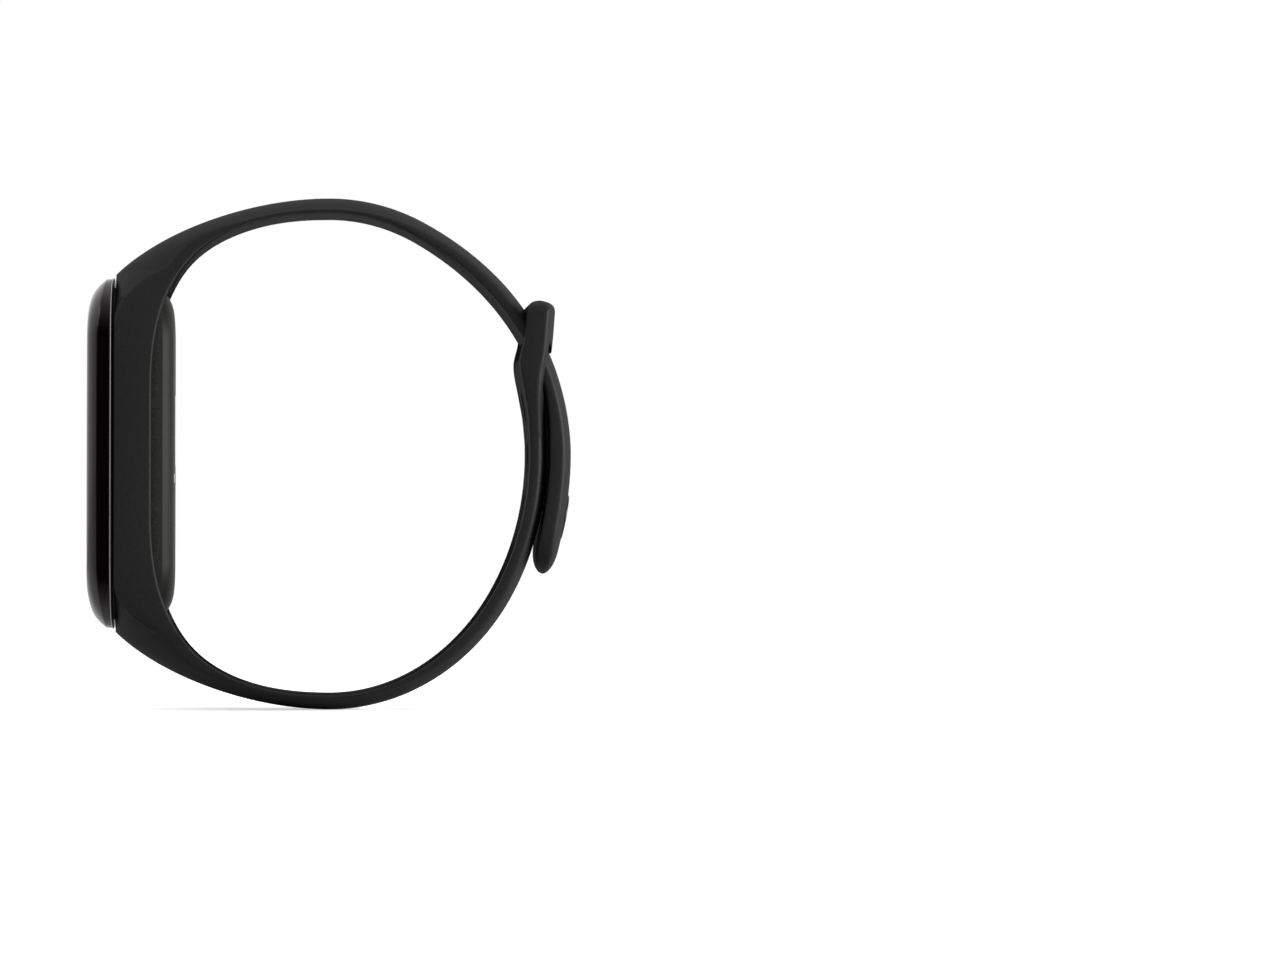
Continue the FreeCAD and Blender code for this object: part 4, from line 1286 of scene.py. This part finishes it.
# Finishes of the parts inside and of the small parts that keep their CAD shape, by material slot:
# (name, darker tone, lighter tone, grain in mm, shader settings).
SLOT_FINISHES = {
    "gold_pads": ("copper_nickel_plated", "#A3A19C", "#BFBDB8", 0.3, {"Metallic": 1.0, "Roughness": 0.25}),
    "black_print": ("ink_screen_printed_black", "#060606", "#0B0B0B", 0.4, {"Roughness": 0.5}),
    "glue": ("acrylic_adhesive_cured_black", "#070707", "#101010", 0.5, {"Roughness": 0.6}),
    "gasket": ("silicone_moulded_gasket", "#0A0A0A", "#141414", 0.3, {"Roughness": 0.7}),
    "display": ("glass_oled_panel", "#050507", "#0A0A0E", 1.0, {"Roughness": 0.1}),
    "ribbon": ("polyimide_film_laminated", "#8A4B12", "#B0681E", 0.6, {"Roughness": 0.4}),
    "copper_foil": ("copper_foil_rolled", "#A8643A", "#C98455", 0.3, {"Metallic": 1.0, "Roughness": 0.35}),
    "frame_plastic": ("nylon_glass_filled_moulded", "#1B1B1C", "#2B2B2D", 0.3, {"Roughness": 0.6}),
    "board": ("epoxy_board_solder_masked", "#0C3A22", "#125032", 0.5, {"Roughness": 0.45}),
    "chips": ("epoxy_moulded_chip", "#151515", "#222222", 0.2, {"Roughness": 0.55}),
    "shield": ("tinplate_stamped", "#9B9DA0", "#B9BBBE", 0.3, {"Metallic": 1.0, "Roughness": 0.35}),
    "ceramic_chip": ("ceramic_fired_white", "#C9C6BD", "#E0DDD4", 0.3, {"Roughness": 0.5}),
    "battery": ("aluminium_laminate_pouch", "#A4A6A8", "#C4C6C8", 0.8, {"Metallic": 0.8, "Roughness": 0.4}),
    "tape": ("polyester_tape_slit", "#1F2A33", "#2A3842", 0.5, {"Roughness": 0.5}),
    "weight": ("tungsten_sintered", "#5E5F61", "#7A7B7D", 0.2, {"Metallic": 1.0, "Roughness": 0.45}),
    "foam": ("urethane_foam_die_cut", "#1A1A1A", "#303030", 0.25, {"Roughness": 0.9}),
    "led": ("epoxy_cast_clear_led", "#C8D8B8", "#E6F0DC", 0.4, {"Roughness": 0.2}),
    "stud": ("steel_turned_plain", "#3A3A3C", "#4C4C4E", 0.3, {"Metallic": 1.0, "Roughness": 0.35}),
}


def finish_inner_parts():
    """Every CAD node that keeps its own shape takes its slot's finish."""
    made = {}
    node_slots = {entry["node"]: entry["material_slot"] for entry in frame["record"]["subparts"]}
    for name, node in frame["nodes"].items():
        if node.hide_render:
            continue
        slot = node_slots[name]
        if slot not in made:
            label, dark, light, grain, settings = SLOT_FINISHES[slot]
            made[slot] = grained(label, dark, light, grain, settings)
        node.data.materials.clear()
        node.data.materials.append(made[slot])


# ---- stage, light and camera: all sizes in metres ----------------------------------
FLOOR_SIZE = 3.0
CAMERA_DISTANCE = 0.6
CAMERA_HEIGHT = -0.015
CAMERA_SHIFT = -0.008          # from the loop's middle, towards the display
AIM_SHIFT = 0.0419             # the other way, so that the loop stands left in the frame
AIM_HEIGHT = -0.00345
FOCAL_LENGTH_MM = 125.3


def build_stage():
    """A pale floor that the loop stands on."""
    size = FLOOR_SIZE
    low = cad_box[0][2]
    mesh = bpy.data.meshes.new("floor")
    corners = [(-size, -size, low), (size, -size, low), (size, size, low), (-size, size, low)]
    mesh.from_pydata(corners, [], [(0, 1, 2, 3)])
    floor = place_object("floor", mesh)
    material, tree, shader = new_material("paper_pale_backdrop", {
        "Base Color": colour("#F2F2F2"), "Roughness": 0.9, "Emission Color": colour("#FFFFFF"),
    })
    path = add(tree, "ShaderNodeLightPath")
    lift = add(tree, "ShaderNodeMath", {"operation": "MULTIPLY", 1: 0.55}, {0: path.outputs["Is Camera Ray"]})
    tree.links.new(lift.outputs[0], shader.inputs["Emission Strength"])
    mesh.materials.append(material)


def build_world():
    """White where the camera, metal and glass look out, and softer as a light."""
    world = bpy.data.worlds.new("studio")
    bpy.context.scene.world = world
    world.use_nodes = True
    tree = world.node_tree
    background = tree.nodes["Background"]
    background.inputs["Color"].default_value = colour("#FFFFFF")
    path = add(tree, "ShaderNodeLightPath")
    seen = add(tree, "ShaderNodeMath", {"operation": "ADD"},
               {0: path.outputs["Is Camera Ray"], 1: path.outputs["Is Glossy Ray"]})
    seen = add(tree, "ShaderNodeMath", {"operation": "ADD", "use_clamp": True},
               {0: seen.outputs[0], 1: path.outputs["Is Transmission Ray"]})
    strength = add(tree, "ShaderNodeMapRange", {"To Min": 0.46, "To Max": 1.0}, {"Value": seen.outputs[0]})
    tree.links.new(strength.outputs["Result"], background.inputs["Strength"])


def soft_light(name, place, size, power):
    """A square studio light that faces the object's middle."""
    lamp = bpy.data.lights.new(name, "AREA")
    lamp.size = size
    lamp.energy = power
    holder = place_object(name, lamp)
    holder.location = place
    holder.rotation_euler = (-Vector(place)).to_track_quat("-Z", "Y").to_euler()


def build_camera():
    """A side view, straight at the loop's edge, with the loop in the left part of the frame."""
    middle_y = (cad_box[0][1] + cad_box[1][1]) / 2.0
    aim = Vector((0.0, middle_y + AIM_SHIFT, AIM_HEIGHT))
    data = bpy.data.cameras.new("camera")
    data.sensor_width = 36.0
    data.lens = FOCAL_LENGTH_MM
    data.clip_start = 0.01
    camera = place_object("camera", data)
    camera.location = (CAMERA_DISTANCE, middle_y + CAMERA_SHIFT, CAMERA_HEIGHT)
    camera.rotation_euler = (aim - camera.location).to_track_quat("-Z", "Y").to_euler()
    bpy.context.scene.camera = camera


build_strap_band()
build_strap_tail()
build_stud()
build_lens()
build_ring()
build_shell()
build_sensor_window()
build_display()
finish_inner_parts()
build_stage()
build_world()
soft_light("key", place=(0.35, -0.45, 0.55), size=0.5, power=2.5)
soft_light("fill", place=(0.15, 0.7, 0.07), size=0.3, power=10.0)
build_camera()
bpy.context.scene.view_settings.view_transform = "Standard"
